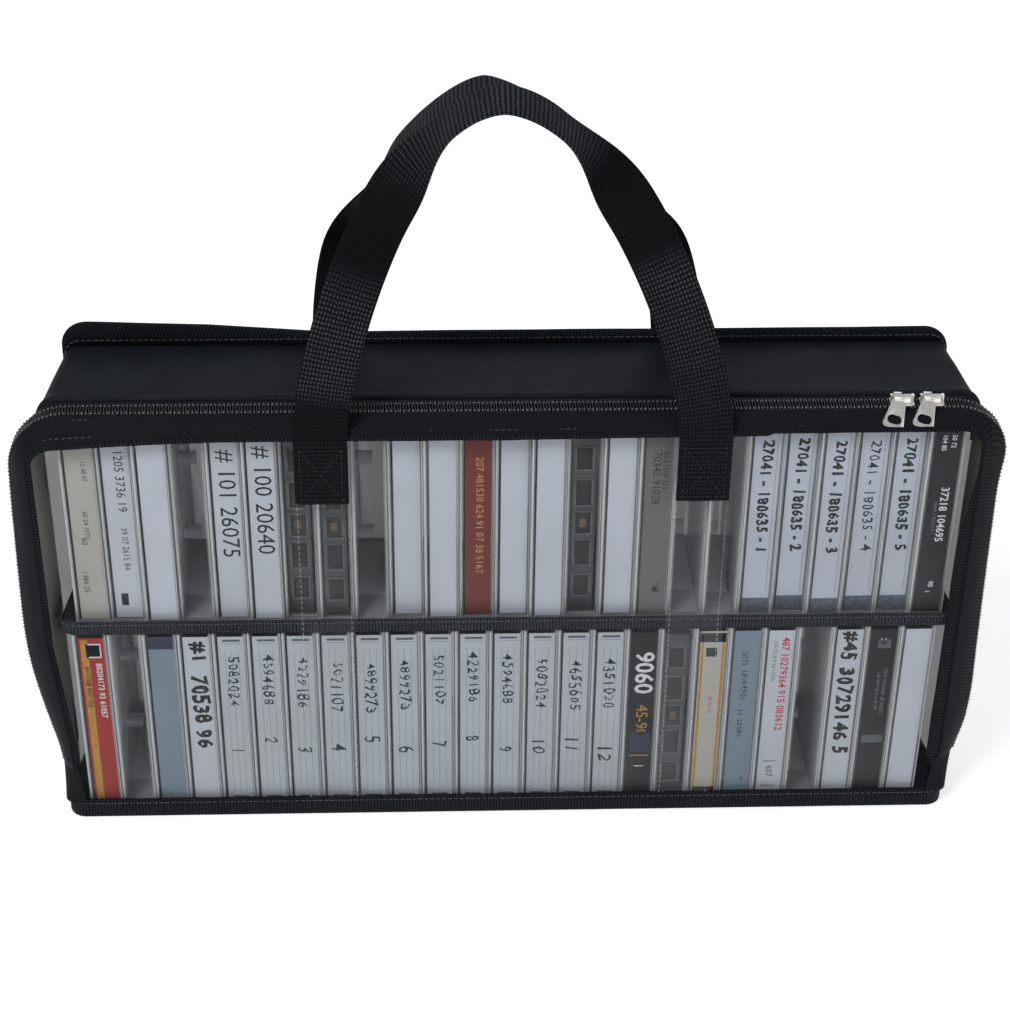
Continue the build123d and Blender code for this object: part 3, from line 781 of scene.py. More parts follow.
def coil_tooth(name, reach, thick, rise):
    """One loop of a zip's coil: up from the tape, over, and down between its neighbours."""
    path = [(0.0, -rise), (-0.15, -rise * 0.35), (0.25, -0.12), (0.9, 0.0), (reach - 0.7, 0.0),
            (reach - 0.1, -0.25), (reach + 0.1, -rise * 0.55)]
    points = []
    for index, (y, z) in enumerate(path):
        a, b = path[max(index - 1, 0)], path[min(index + 1, len(path) - 1)]
        run = Vector((0, b[0] - a[0], b[1] - a[1])).normalized()
        up = Vector((1, 0, 0)).cross(run)
        girth = thick / 2 * (1.25 if index in (1, 2, 5) else 1.0)
        points += [tuple(Vector((c * girth, y, z)) + up * s * girth) for c, s in AROUND]
    faces = quads(len(path), SIDES, tube=True) + end_caps(len(path), SIDES)
    return mesh_object(name, points, faces, smooth=False)


def remove(*objects):
    """Delete shapes that were only repeated."""
    for item in objects:
        bpy.data.objects.remove(item)


# ---------------------------------------------------------------- stage
# name, place, aim, size, power and colour of each lamp
LAMPS = (("Key", (-0.7, -0.9, 1.5), (0, 0, 0.12), 0.7, 13, (0.96, 0.98, 1.0)),
         ("Fill", (1.3, -1.0, 0.9), (0, 0, 0.12), 1.2, 4, (0.93, 0.96, 1.0)),
         ("Back", (0.2, 1.3, 1.3), (0, 0, 0.15), 1.2, 5, (0.93, 0.96, 1.0)))


class BAG_OT_stage(bpy.types.Operator):
    """Camera, pale floor and soft studio light"""
    bl_idname = "bag.stage"
    bl_label = "Stage"

    def execute(self, context):
        scene = context.scene
        scene.view_settings.view_transform = "Standard"
        scene.cycles.transparent_max_bounces = 32
        lens = bpy.data.cameras.new("Camera")
        lens.sensor_width, lens.lens = 36.0, CAMERA_LENS
        camera = new_object("Camera", lens)
        camera.location = CAMERA_PLACE
        turns = zip((CAMERA_TURN, 90 - CAMERA_DIP, CAMERA_ROLL), "ZXZ")
        first, second, third = [Matrix.Rotation(math.radians(turn), 3, axis)
                                for turn, axis in turns]
        camera.rotation_euler = (first @ second @ third).to_euler()
        scene.camera = camera
        for name, place, aim, size, power, colour in LAMPS:
            light = bpy.data.lights.new(name, "AREA")
            light.shape, light.size = "DISK", size
            light.energy, light.color = power, colour
            made = new_object(name, light)
            made.location = place
            made.rotation_euler = (Vector(aim) - Vector(place)).to_track_quat("-Z", "Y").to_euler()

        world = bpy.data.worlds.new("Studio")
        scene.world = world
        world.use_nodes = True
        path = add(world.node_tree, "ShaderNodeLightPath")
        seen = path["Is Camera Ray"].calc("MAXIMUM", path["Is Transmission Ray"])
        feed(world.node_tree.nodes["Background"], {"Color": (0.97, 0.98, 1.0, 1.0),
                                                   "Strength": spread(seen, 0.0, 1.0, 0.26, 1.0)})
        side, level = 6000.0, -0.3
        corners = ((-side, -side, level), (side, -side, level), (side, side, level),
                   (-side, side, level))
        floor = mesh_object("floor", corners, [(0, 1, 2, 3)], pale_floor("Pale floor"),
                            smooth=False)
        return {"FINISHED"}


# ---------------------------------------------------------------- cloth, bindings, zip, vinyl
def evenly(line, count):
    """Points at even distances along a line, and its length."""
    run = run_of(line)
    at = np.linspace(0, run[-1], count)
    return np.stack([np.interp(at, run, line[:, k]) for k in (0, 1)], axis=1), run[-1]


TAB_POINTS, TAB_LEVELS = 30, 14


def corner_plan(*corners):
    """Evenly spaced points along a line with its corners eased."""
    line = np.array(corners, float)
    for _ in range(3):
        cut = [line[0]]
        for a, b in zip(line[:-1], line[1:]):
            cut += [a * 0.75 + b * 0.25, a * 0.25 + b * 0.75]
        line = np.array(cut + [line[-1]])
    return evenly(line, TAB_POINTS)[0]


# the top panel from front to back: depth and height past the fold's front and top
FOLD_PROFILE = ((0.9, -2.6), (0.15, -1.3), (0.45, -0.35), (1.4, 0.0), (2.8, -0.05), (4.2, -0.5),
                (6.2, -1.35), (8.6, -1.8))


class BAG_OT_top_cloth(bpy.types.Operator):
    """Black top panel with its raised front fold, and the corner tabs and base"""
    bl_idname = "bag.top_cloth"
    bl_label = "Top and base cloth"

    def execute(self, context):
        colour = context.scene.bag_colours.cloth
        profile = [(LIP_FRONT + y, LIP + z) for y, z in FOLD_PROFILE]
        profile += [(y, TOP + 0.3 * (BACK - y) / 48) for y in range(-4, 40, 4)]
        profile.append((BACK - 0.7, TOP))
        rows = []
        for y, z in profile:
            share = (y - LIP_FRONT) / (BACK - LIP_FRONT)
            corner = LIP_CORNER + (BACK_CORNER - LIP_CORNER) * share
            inset = max(0.0, LIP - z) if y < LIP_FRONT + 1.2 else 0.0
            line = arch(half_width(y) - inset, z, corner, TOP - 24.0, legs=(2, 8), across=120)
            rows.append(at_depth(line, y))
        grid = np.array(rows)
        for i, (y, _) in enumerate(profile):
            sag = math.sin(math.pi * part_way(y, LIP_FRONT + 6, LIP_FRONT + 54))
            for point in grid[i]:
                x, _, z = point
                level = part_way(z, TOP - 6, TOP)
                soft = ripple((x, y * 2.2, 0), 48, 3) + 0.5 * ripple((x, y, 0), 17, 5)
                point[2] += level * (sag * (soft * 1.5 - 1.3 + 1.1 * abs(x) / 222)
                                     + (1 - sag) * 0.35 * ripple((x, 0, 0), 26, 9))
                point[1] += level * (1 - min(1.0, i / 8)) * 0.7 * ripple((x, 0, 0), 30, 12)
        panel = sheet_object("top_panel_cloth", grid, cloth("Top cloth", colour), flip=True)
        settle(thicken(panel, CLOTH_THICK), "bag", "top_panel", slot="top_fabric")

        matt = cloth("Base cloth", colour, roughness=0.75)
        softened("base_panel", "base_panel_cloth", matt, 0.8, "bag", slot="base_fabric")
        points, faces = [], []
        for side, edge in ((-1, 226.5), (1, 228.9)):
            low = corner_plan((214.5, -41.4), (222.2, -41.5), (225.6, -38.5), (226.2, -33.0),
                              (224.6, -22.0), (222.3, -12.2))
            high = corner_plan((216.8, -41.3), (219.4, -41.3), (edge - 1.0, -32.6),
                               (edge, -27.5), (edge - 1.0, -22.6), (221.4, -12.2))
            faces += quads(TAB_LEVELS, TAB_POINTS, flip=side < 0, start=len(points))
            for share in np.linspace(0, 1, TAB_LEVELS):
                points += [(side * (x + 0.25 * ripple((y, side, share * 12), 9, 15)), y,
                            BAND - 1.5 + 22.4 * share) for x, y in low + (high - low) * share]
        tabs = thicken(mesh_object("corner_tab_cloth", points, faces, matt), TAB_THICK)
        settle(tabs, "bag", "lower_corner_tabs", slot="base_fabric")
        return {"FINISHED"}


# how far the flange's upper edge rises along its length
FLANGE_LIFT = ((-217, -204, -150, -90, 0, 110, 175, 217),
               (5.2, 5.0, 3.3, -1.2, -0.7, -0.8, -0.6, -0.3))
# how much further the window's border reaches in on its right side, by height
BORDER_REACH = ((30, 60, 150, 172, 202), (4.0, 4.2, 3.2, 2.2, -1.2))
# cross-sections: share from inner to outer line, and depth or height
FLANGE_SECTION = ((0.0, -1.95), (0.0, 0.0), (0.55, 0.0), (0.86, -0.05), (0.96, -0.35),
                  (1.0, -1.0), (0.96, -1.65), (0.86, -1.95), (0.55, -2.0))
BAND_SECTION = ((0.5, 0.0), (0.14, 0.0), (0.0, 0.35), (0.02, 3.0), (-0.02, 7.0), (0.02, 10.0),
                (0.14, 10.8), (0.5, 11.0), (0.86, 10.8), (1.0, 10.2), (1.0, 0.6), (0.86, 0.0))
SHELF_SECTION = ((0.5, 0.0), (0.08, 0.03), (0.0, 0.12), (0.0, 0.5), (0.0, 0.88), (0.1, 0.97),
                 (0.5, 1.0), (0.95, 0.97), (1.0, 0.9), (1.0, 0.1), (0.95, 0.03))


class BAG_OT_bindings(bpy.types.Operator):
    """Woven bindings: the back flange, the bottom seam, the shelf's edge, the window's seam"""
    bl_idname = "bag.bindings"
    bl_label = "Bindings"

    def execute(self, context):
        colours = context.scene.bag_colours
        ribbed = woven("Edge binding", colours.binding)

        def bind(name, rows, body, node, finish=ribbed, ring=False):
            settle(loop_object(name, rows, finish, ring), body, node, slot="edge_binding")

        y = BACK + 0.1
        counts = dict(legs=(10, 30), across=160)
        inner = arch(half_width(y - 2.0) + 0.1, TOP + 0.1, 5.1, BAND - 0.8, **counts)
        outer = arch(HALF_BACK + 2.4, TOP + 8.4, 13.0, BAND - 0.8, **counts)
        rows = []
        for start, end in zip(inner, outer):
            lean = 0.35 * ripple((start[0], 0, start[1]), 40, 21)
            lift = np.interp(start[0], *FLANGE_LIFT) * part_way(start[1], 190, 225)
            rows.append([(start[0] + (end[0] - start[0]) * a, y + dy + lean * a,
                          start[1] + (end[1] - start[1]) * a + lift * a)
                         for a, dy in FLANGE_SECTION])
        bind("back_flange_cloth", rows, "bag", "back_flange_binding")

        rows = []
        for a, b in zip(base_ring(-0.8, 8.8), base_ring(0.8, 7.2)):
            wave = 0.12 * ripple((a[0], a[1], 0), 25, 31)
            rows.append([(*(a + (b - a) * (t + wave * (0 < z < 11))), z)
                         for t, z in BAND_SECTION])
        bind("bottom_seam_binding", rows, "bag", "bottom_binding", ring=True)

        rows = []
        for a, b in zip(shelf_line(0.0), shelf_line(0.8)):
            low = SHELF_UNDER - 0.1 + 0.15 * ripple((a[0], a[1], 0), 60, 41)
            rows.append([(*(a + (b - a) * t), low + z * SHELF_BAND) for t, z in SHELF_SECTION])
        bind("shelf_edge_binding", rows, "bag", "shelf_binding",
             woven("Shelf binding", rgba(colours.binding, 2.2)))
        cover = cloth("Shelf cover", colours.cloth, roughness=0.7)
        softened("shelf_board", "shelf_cover", cover, 0.6, "bag", slot="shelf_cover")

        seam = window_arch(FOLD + 1.5, **counts)
        rows = []
        for (x, z), (out, up) in zip(seam, sideways(seam)):
            reach = 2.3 + 0.25 * ripple((x, 0, z), 18, 51)
            if x > 120:
                reach += np.interp(z, *BORDER_REACH)
            rows.append([(x - out * a, FRONT - dy, z - up * a)
                         for a, dy in ((-0.2, 0.05), (reach, 0.05), (reach, 0.25),
                                       (reach * 0.5, 0.4), (-0.2, 0.3))])
        bind("window_seam_cloth", rows, "flap", "window_seam_border")
        return {"FINISHED"}


def base_ring(margin, rounding, arc=8, side=40, across=160):
    """Plan of the base as a closed line, drawn in by a margin."""
    front, back = FRONT + margin, BACK - margin
    wide, narrow = half_width(FRONT) - margin, half_width(BACK) - margin
    corners = [Vector(c) for c in ((-wide, front), (wide, front), (narrow, back), (-narrow, back))]

    def rays(index):
        """Directions from a corner to the one before and the one after it."""
        corner = corners[index % 4]
        return [(corners[(index + step) % 4] - corner).normalized() for step in (-1, 1)]

    line = []
    for index, corner in enumerate(corners):
        before, after = rays(index)
        half_angle = before.angle(after) / 2
        reach = rounding / math.tan(half_angle)
        middle = corner + (before + after).normalized() * rounding / math.sin(half_angle)
        first, last = corner + before * reach - middle, corner + after * reach - middle
        line += [middle + (first * (1 - t) + last * t).normalized() * rounding
                 for t in np.linspace(0, 1, arc)]
        back_to, on_to = rays(index + 1)
        stop = corners[(index + 1) % 4] + back_to * rounding / math.tan(back_to.angle(on_to) / 2)
        count = across if index % 2 == 0 else side
        line += [line[-1].lerp(stop, t) for t in np.linspace(0, 1, count + 1)[1:-1]]
    return [np.array(p) for p in line]


def shelf_line(margin, corner=10.8, arc=10, across=120):
    """Front edge of the shelf's binding in plan, from left to right."""
    front = FRONT + 2.2 + margin
    wide = half_width(LIP_FRONT) - 0.7 - margin
    radius = corner - margin
    left = [(-wide, LIP_FRONT + (front + radius - LIP_FRONT) * t) for t in np.linspace(0, 1, 8)]
    left += [(-wide + radius * (1 - math.cos(t)), front + radius * (1 - math.sin(t)))
             for t in np.linspace(0, math.pi / 2, arc)[1:]]
    middle = [(x, front) for x in np.linspace(-wide + radius, wide - radius, across)[1:-1]]
    return [np.array(p) for p in left + middle + [(-x, y) for x, y in reversed(left)]]


def flap_tape(t, low, foot, lift=0.0, **counts):
    """Flap's zip tape part way from the window's seam to the chain: (x, z) line, depth, normals."""
    window, crest = window_arch(low, foot, **counts), zip_arch(TAPE_UNDER, low, **counts)
    line = window + (crest - window) * t
    swell = 1.1 * math.sin(math.pi * t) ** 1.2
    push = sideways(line)
    depth = FRONT + (CHAIN - TAPE_EDGE - FRONT) * t - swell * 0.5
    return line + push * (swell * 0.7 + lift), depth, push


class BAG_OT_zip_tapes(bpy.types.Operator):
    """The zip's two woven tapes, sloped out to the chain"""
    bl_idname = "bag.zip_tapes"
    bl_label = "Zip tapes"

    def execute(self, context):
        finish = woven("Zip tape", rgba(context.scene.bag_colours.binding, 1.8), 0.0010, 0.0011,
                       relief=0.0001, contrast=2.6)
        counts = dict(legs=(14, 34), arc=18, across=200)
        rows = [at_depth(*flap_tape(t, FLAP_LOW, WINDOW_HALF + 0.1, **counts)[:2])
                for t in np.linspace(0, 1, 11)]
        grid = wave_grid(rows, (0.0, -0.6, 0.8), 0.9, 22, 61, 3)
        tape = thicken(sheet_object("flap_zip_tape", grid, finish, flip=True), TAPE_THICK)
        settle(tape, "flap", "flap_zipper_tape", slot="zipper_tape")

        crest = zip_arch(TAPE_UNDER, FIXED_LOW, **counts)
        tucked, sewn = [arch(half_width(y) - inset, top, 9.5, FIXED_LOW,
                             half_width(y) - inset - 0.1, **counts)
                        for y, inset, top in ((LIP_FRONT, 1.0, LIP - 1.9),
                                              (SEAM_BACK, 0.9, TOP - 0.9))]
        start, end = CHAIN + TAPE_EDGE, LIP_FRONT - 0.6
        rows = []
        for t in np.linspace(0, 1, 8):
            line = crest + (tucked - crest) * t
            line = line + sideways(line) * 0.5 * math.sin(math.pi * t)
            rows.append(at_depth(line, start + (end - start) * t))
        rows.append(at_depth(sewn, SEAM_BACK))
        tape = thicken(sheet_object("fixed_zip_tape", rows, finish, flip=True), TAPE_THICK)
        settle(tape, "bag", "fixed_zipper_tape", slot="zipper_tape")
        return {"FINISHED"}


class BAG_OT_zip_teeth(bpy.types.Operator):
    """Coil teeth on both halves of the zip, with the cord that they are sewn over"""
    bl_idname = "bag.zip_teeth"
    bl_label = "Zip teeth"

    def execute(self, context):
        pitch, colours = context.scene.bag_sizes.coil_pitch, context.scene.bag_colours
        dark = nylon("Coil nylon", rgba(colours.coil, 0.8), rgba(colours.coil, 1.5), 0.25, 0.4,
                     0.45)
        base = cloth("Chain cord", colours.binding, roughness=0.8)
        tooth = coil_tooth("tooth_pattern", 3.9, 0.74, 1.5)
        fine = dict(legs=(20, 60), arc=40, across=320)
        for body, node, side, low, seed in (("flap", "flap_zipper_coil", -1, FLAP_LOW, 3),
                                            ("bag", "fixed_zipper_coil", 1, FIXED_LOW, 4)):
            line = zip_arch(0.4, low, **fine)
            if side > 0:
                # the two halves mesh: this one runs back, from half a step further on
                line = line[::-1].copy()
                line[0] += (line[1] - line[0]) * 0.5
            facing = [(-side * n[0], 0.0, -side * n[1]) for n in sideways(line)]
            path = at_depth(line, CHAIN + side * 3.75)
            teeth = repeat_along(f"{node}_teeth", [(path, facing, False)], tooth, pitch, dark,
                                 0.04, seed)
            settle(teeth, body, node, slot="zipper_coil")
            under = zip_arch(1.15, low, legs=(10, 30), arc=18, across=160)
            rows = [[(x - out * drop, CHAIN + side * reach, z - up * drop)
                     for reach, drop in ((0.5, 0.1), (0.5, 0.9), (3.9, 0.9), (3.9, 0.1))]
                    for (x, z), (out, up) in zip(under, sideways(under))]
            cord = loop_object(f"{node}_cord", rows, base, flip=side > 0)
            settle(cord, body, node, slot="zipper_coil")

        # The knots' pale colour is painted highlight: it stands for the glints on the coil's bends,
        # in two dotted rows.
        sewn = nylon("Coil thread", (0.06, 0.065, 0.072), (0.34, 0.35, 0.37), 0.4, 0.4)
        knot = bead("knot_pattern", 0.85, 0.68, 0.5)
        for body, side, low, seed in (("flap", -1, FLAP_LOW, 13), ("bag", 1, FIXED_LOW, 14)):
            line = zip_arch(0.1, low, **fine)
            rows = [(at_depth(line, CHAIN + side * 3.4), facing_out(line), False)]
            settle(repeat_along(f"{body}_coil_sewing", rows, knot, pitch * 1.5, sewn, 0.15, seed),
                   body, slot="zipper_coil")
        remove(tooth, knot)
        return {"FINISHED"}


class BAG_OT_sliders(bpy.types.Operator):
    """Plated sliders and their pulls"""
    bl_idname = "bag.sliders"
    bl_label = "Sliders and pulls"

    def execute(self, context):
        nickel = plated("Nickel plate", context.scene.bag_colours.metal)
        for name in ("left_slider", "right_slider", "left_pull", "right_pull"):
            softened(name, f"{name}_plated", nickel, 0.28, name, 3, slot="nickel_plate")
        return {"FINISHED"}


def film_grid(half_at, heights, y, columns):
    """Upright sheet whose half width depends on the height."""
    return [[(half_at(z) * u, y, z) for u in np.linspace(-1, 1, columns)] for z in heights]


def rounded_in(z, start, radius):
    """How far a sheet's edge has come in at a height, round a corner that starts lower."""
    drop = z - start
    return 0.0 if drop <= 0 else radius - math.sqrt(max(0.0, radius ** 2 - drop ** 2))


def levels(*stops):
    """Heights between stops, with the count of each stretch."""
    heights = [np.linspace(low, high, count)[1:]
               for (low, _), (high, count) in zip(stops, stops[1:])]
    return np.concatenate([[stops[0][0]], *heights])


class BAG_OT_clear_sheets(bpy.types.Operator):
    """Window, gussets, back and reinforcing strips of clear vinyl"""
    bl_idname = "bag.clear_sheets"
    bl_label = "Clear sheets"

    def execute(self, context):
        colours = context.scene.bag_colours
        low = BAND + 0.1
        fold = ("flap", (0, FRONT, FOLD - 9), (0, FRONT, FOLD + 9))

        def window_half(z):
            if z < FOLD:
                return half_width(FRONT) - 3.0 - 3.2 * (z - BAND) / (FOLD - BAND)
            return WINDOW_HALF - 0.75 - rounded_in(z, WINDOW_TOP - 0.8 - WINDOW_CORNER,
                                                   WINDOW_CORNER)
        heights = levels((low, 0), (60, 22), (210, 44), (WINDOW_TOP - 0.8, 14))
        grid = wave_grid(film_grid(window_half, heights, FRONT + 0.25, 110), (0.0, 1.0, 0.0),
                         context.scene.bag_sizes.film_wave / MM, 55, 71, 6)
        drawn = drawn_aside(grid[:, :, (0, 2)].reshape(-1, 2))
        grid[:, :, (0, 2)] = drawn.reshape(*grid.shape[:2], 2)
        clear = film("Window film", colours.film, 0.012, 0.008, 0.3)
        window = sheet_object("window_film", grid, clear)
        settle(window, "bag", "front_window", "window_sill", slot="clear_vinyl", fold=fold)

        smoky = film("Side film", colours.side_film, 0.05, 0.80, 0.1, 0.3)
        for side, node in ((-1, "left_gusset"), (1, "right_gusset")):
            grid = [[(side * (half_width(y) - 1.15), y, z)
                     for z in np.linspace(low, TOP - 20.0, 50)]
                    for y in np.linspace(FRONT + 5.5, BACK - 0.6, 24)]
            grid = wave_grid(grid, (1.0, 0.0, 0.0), 0.35, 40, 73 + side, 3)
            sheet = sheet_object(f"{node}_film", grid, smoky, flip=side < 0)
            settle(sheet, "bag", node, slot="clear_vinyl")

        def back_half(z):
            return half_width(BACK) + 0.2 - rounded_in(z, TOP - 0.2 - BACK_CORNER, BACK_CORNER)
        heights = levels((low, 0), (TOP - 8, 50), (TOP - 0.2, 10))
        grid = wave_grid(film_grid(back_half, heights, BACK - 0.25, 100), (0.0, 1.0, 0.0), 0.3,
                         60, 75, 6)
        rear = film("Back film", colours.back_film, 0.04, 0.72, 0.1, 0.3)
        back = sheet_object("back_film", grid, rear, flip=True)
        settle(back, "bag", "back_panel", slot="clear_vinyl")

        strip = film("Strip film", colours.film, 0.03, 0.02, 0.3)
        for name, face, strap, fold_here, replaced in (
                ("front_strips", FRONT - 0.3, FRONT_STRAP, fold,
                 ("front_reinforcing_strips", "sill_reinforcing_strips")),
                ("back_strips", BACK + 0.3, BACK_STRAP, None, ("back_reinforcing_strips",))):
            points, faces = [], []
            for centre in feet_of(strap):
                faces += quads(70, 9, flip=face > 0, start=len(points))
                points += [(centre + u, face, z) for z in np.linspace(low, FOOT_TOP, 70)
                           for u in np.linspace(-STRIP_HALF, STRIP_HALF, 9)]
            settle(mesh_object(name, points, faces, strip), "bag", *replaced,
                   slot="clear_vinyl", fold=fold_here)
        return {"FINISHED"}


# ---------------------------------------------------------------- handles
def strap_route(foot_x, rise, bow, crest, sway, turn, lean, twist, spans):
    """Even stations along a strap's arch: place, direction along it, and across it."""
    line = []
    for angle in np.linspace(0, math.pi, 601):
        c, s = math.cos(angle), math.sin(angle)
        line.append((-math.copysign(foot_x * abs(c) ** (2 / bow), c) + sway * s * s,
                     rise * abs(s) ** (2 / crest)))
    spots, length = evenly(np.array(line), spans + 1)
    stations = []
    for step, ((x, z), run) in enumerate(zip(spots, np.gradient(spots, axis=0))):
        up = 1 - abs(2 * step / spans - 1)
        ax = run[0] / math.hypot(*run) * ease(up / 0.05)
        az = math.copysign(math.sqrt(1 - ax * ax), run[1])
        inward = ease((up - lean[0]) / (lean[1] - lean[0]))
        turned = math.radians(turn) * ease((up - twist[0]) / (twist[1] - twist[0]))
        y = -STRAP_FOOT_Y + (STRAP_FOOT_Y - STRAP_TOP_Y) * inward
        across = Vector((-az * math.cos(turned), math.sin(turned), ax * math.cos(turned)))
        stations.append((Vector((x, y, FOOT_TOP + 0.3 + z)), Vector((ax, 0, az)), across))
    return stations, length


# how flattened the webbing is, and how far its colour is darkened as painted shade, by share of its
# free length
FRONT_PRESSED_SHADE = ((0.0, 0.005, 0.05, 0.075, 0.19, 0.235, 0.34, 0.37, 0.60, 0.65, 0.76, 0.80, 1.0),
                 (0.88, 1.0, 1.0, 0.0, 0.1, 1.0, 1.0, 0.0, 0.0, 1.0, 1.0, 0.0, 0.8))
BACK_PRESSED_SHADE = ((0.0, 0.2, 0.36, 0.40, 0.60, 0.66, 1.0), (0.7, 1.0, 1.0, 0.0, 0.2, 1.0, 0.8))


def strap_section(half, rim):
    """Cross-section of webbing, a little thinner towards its rounded edges."""
    over = [(u * half, rim * (1 - 0.25 * abs(u) ** 6)) for u in np.linspace(-0.97, 0.97, 21)]
    over = [(-half, rim * 0.4), *over, (half, rim * 0.4)]
    whole = over + [(-u, -v) for u, v in over]
    return whole[1:] + whole[:1]


FOOT_STEPS = 24


class BAG_OT_handles(bpy.types.Operator):
    """Webbing handles, sewn feet and free arch in one length"""
    bl_idname = "bag.handles"
    bl_label = "Handles"

    def execute(self, context):
        sizes = context.scene.bag_sizes
        half, rim = sizes.strap_width / MM / 2, sizes.strap_thick / MM / 2
        section = strap_section(half, rim)
        finish = woven("Webbing", context.scene.bag_colours.webbing, sizes.knuckle_row,
                       sizes.knuckle_column, 0.0, 0.0009, 15.0, pressed_and_shaded=True)
        for name, body, child, side, seed, values, flatness_and_shade in (
                ("front_webbing", "flap", "front_handle", -1, 82, FRONT_STRAP, FRONT_PRESSED_SHADE),
                ("back_webbing", "bag", "back_handle", 1, 81, BACK_STRAP, BACK_PRESSED_SHADE)):
            stations, length = strap_route(spans=260, **values)
            feet = [[(Vector((end.x, end.y, z)), Vector((0, 0, up)), Vector((-up, 0, 0)))
                     for z in np.linspace(FOOT_LOW, FOOT_TOP, FOOT_STEPS, endpoint=False)]
                    for end, up in ((stations[0][0], 1), (stations[-1][0], -1))]
            whole = feet[0] + stations + feet[1][::-1]
            rows, uv, pressed_and_shaded, run, before = [], [], [], 0.0, whole[0][0]
            for index, (place, along, across) in enumerate(whole):
                run += (place - before).length
                before = place
                level = along.cross(across)
                to_end = min(index, len(whole) - 1 - index)
                wobble = 0.25 * ripple((run, 0, 0), 30, seed) * (to_end >= FOOT_STEPS)
                curl = 0.35 * ease((index - 30) / 40) * ease((len(whole) - 30 - index) / 40)
                spots = [place + across * u + level * (v + wobble - curl * (u / half) ** 2)
                         for u, v in section]
                rows.append([(spot.x, -side * spot.y, spot.z) for spot in spots])
                uv += [(run * MM, (u + 40) * MM) for u, _ in section]
                # this mark flattens the weave and darkens the strap's colour as painted shade
                pressed_and_shaded += [np.interp(part_way(run, 33, 33 + length), *flatness_and_shade)] * len(section)
            strap = loop_object(name, rows, finish, flip=side > 0, uv=uv)
            mark = strap.data.attributes.new("pressed_and_shaded", "FLOAT", "POINT")
            mark.data.foreach_set("value", pressed_and_shaded)
            y = side * (BACK + 1.9)
            settle(strap, body, child, f"{child}_feet", slot="webbing",
                   fold=(child, (0, y, FOOT_TOP - 3), (0, y, FOOT_TOP + 9)))
        return {"FINISHED"}


# ---------------------------------------------------------------- thread
def straight(x, z, to_x, to_z, y, side, count=40):
    """Path of a straight row of stitches from (x, z) to (to_x, to_z) on the front or the back."""
    line = [(x + (to_x - x) * t, y, z + (to_z - z) * t) for t in np.linspace(0, 1, count)]
    return line, [(0, side, 0)] * count, False


class BAG_OT_stitches(bpy.types.Operator):
    """Rows of stitches in black and in clear thread"""
    bl_idname = "bag.stitches"
    bl_label = "Stitches"

    def execute(self, context):
        sizes = context.scene.bag_sizes
        width, pitch = sizes.thread_thick / MM, sizes.stitch_pitch
        dark = thread("Black thread", (0.15, 0.155, 0.17))
        black = thread("Webbing thread", (0.014, 0.015, 0.018))
        pale = thread("Pale thread", (0.62, 0.62, 0.62))
        stitch = bead("stitch_pattern", sizes.stitch_length / MM, width, width * 0.62)
        fine = bead("fine_stitch_pattern", 2.0, 0.34, 0.2)
        counts = dict(legs=(12, 30), arc=16, across=140)

        y = LIP_FRONT + 3.2
        lip = arch(half_width(y) + 0.35, LIP + 0.32, LIP_CORNER, TOP - 24, legs=(2, 8), arc=14,
                   across=140)
        flange = arch(HALF_BACK + 1.0, TOP + 3.6, 8.0, BAND + 2, **counts)
        fixed = [(at_depth(lip, y), facing_out(lip), False)]
        fixed += [(at_depth(flange, depth), [(0, side, 0)] * len(flange), False)
                  for depth, side in ((BACK - 1.9, -1), (BACK + 0.12, 1))]
        ring, shelf = np.array(base_ring(-0.84, 8.84)), np.array(shelf_line(-0.02))
        round_ring = np.roll(ring, -1, axis=0) - np.roll(ring, 1, axis=0)
        for line, run, z in ((ring, round_ring, 8.7), (shelf, None, SHELF_UNDER + 5.7)):
            fixed.append(([(*spot, z) for spot in line],
                          [(-a, -b, 0) for a, b in sideways(line, run)], line is ring))
        settle(repeat_along("shell_stitches", fixed, stitch, pitch, dark, 0.08, 5), "bag",
               slot="edge_binding")

        moving = []
        for t in (0.22, 0.84):
            line, depth, push = flap_tape(t, FOLD + 0.6, WINDOW_HALF, 0.12, **counts)
            moving.append((at_depth(line, depth - 0.1),
                           [(n[0] * 0.7, -0.7, n[1] * 0.7) for n in push], False))
        settle(repeat_along("flap_stitches", moving, stitch, pitch, dark, 0.08, 6), "flap",
               slot="edge_binding")

        for end, body, side, strap in (("front", "flap", -1, FRONT_STRAP),
                                       ("back", "bag", 1, BACK_STRAP)):
            rows, low, high = [], FOOT_LOW + 2.6, FOOT_TOP - 4
            for centre in feet_of(strap):
                a, b = centre - FOOT_SEAM, centre + FOOT_SEAM
                rows += [straight(*points, side * (BACK + 1.93), side, 20) for points in (
                    (a, low, b, low), (b, low, b, high), (b, high, a, high), (a, high, a, low),
                    (a, low, b, high), (a, high, b, low))]
            settle(repeat_along(f"{end}_foot_stitches", rows, stitch, pitch, black, 0.08, 7),
                   body, slot="webbing")

        for name, body, side, strap, low, high in (
                ("front_strip", "flap", -1, FRONT_STRAP, FOLD + 2, FOOT_LOW - 0.5),
                ("sill_strip", "bag", -1, FRONT_STRAP, BAND + 0.5, FOLD - 2),
                ("back_strip", "bag", 1, BACK_STRAP, BAND + 0.5, FOOT_LOW - 0.5)):
            rows = [straight(x, low, x, high, side * (BACK + 0.38), side)
                    for centre in feet_of(strap)
                    for x in (centre - STRIP_SEAM, centre + STRIP_SEAM)]
            settle(repeat_along(f"{name}_stitches", rows, fine, 0.0031, pale, 0.1, 8), body,
                   slot="clear_vinyl")
        remove(stitch, fine)
        return {"FINISHED"}


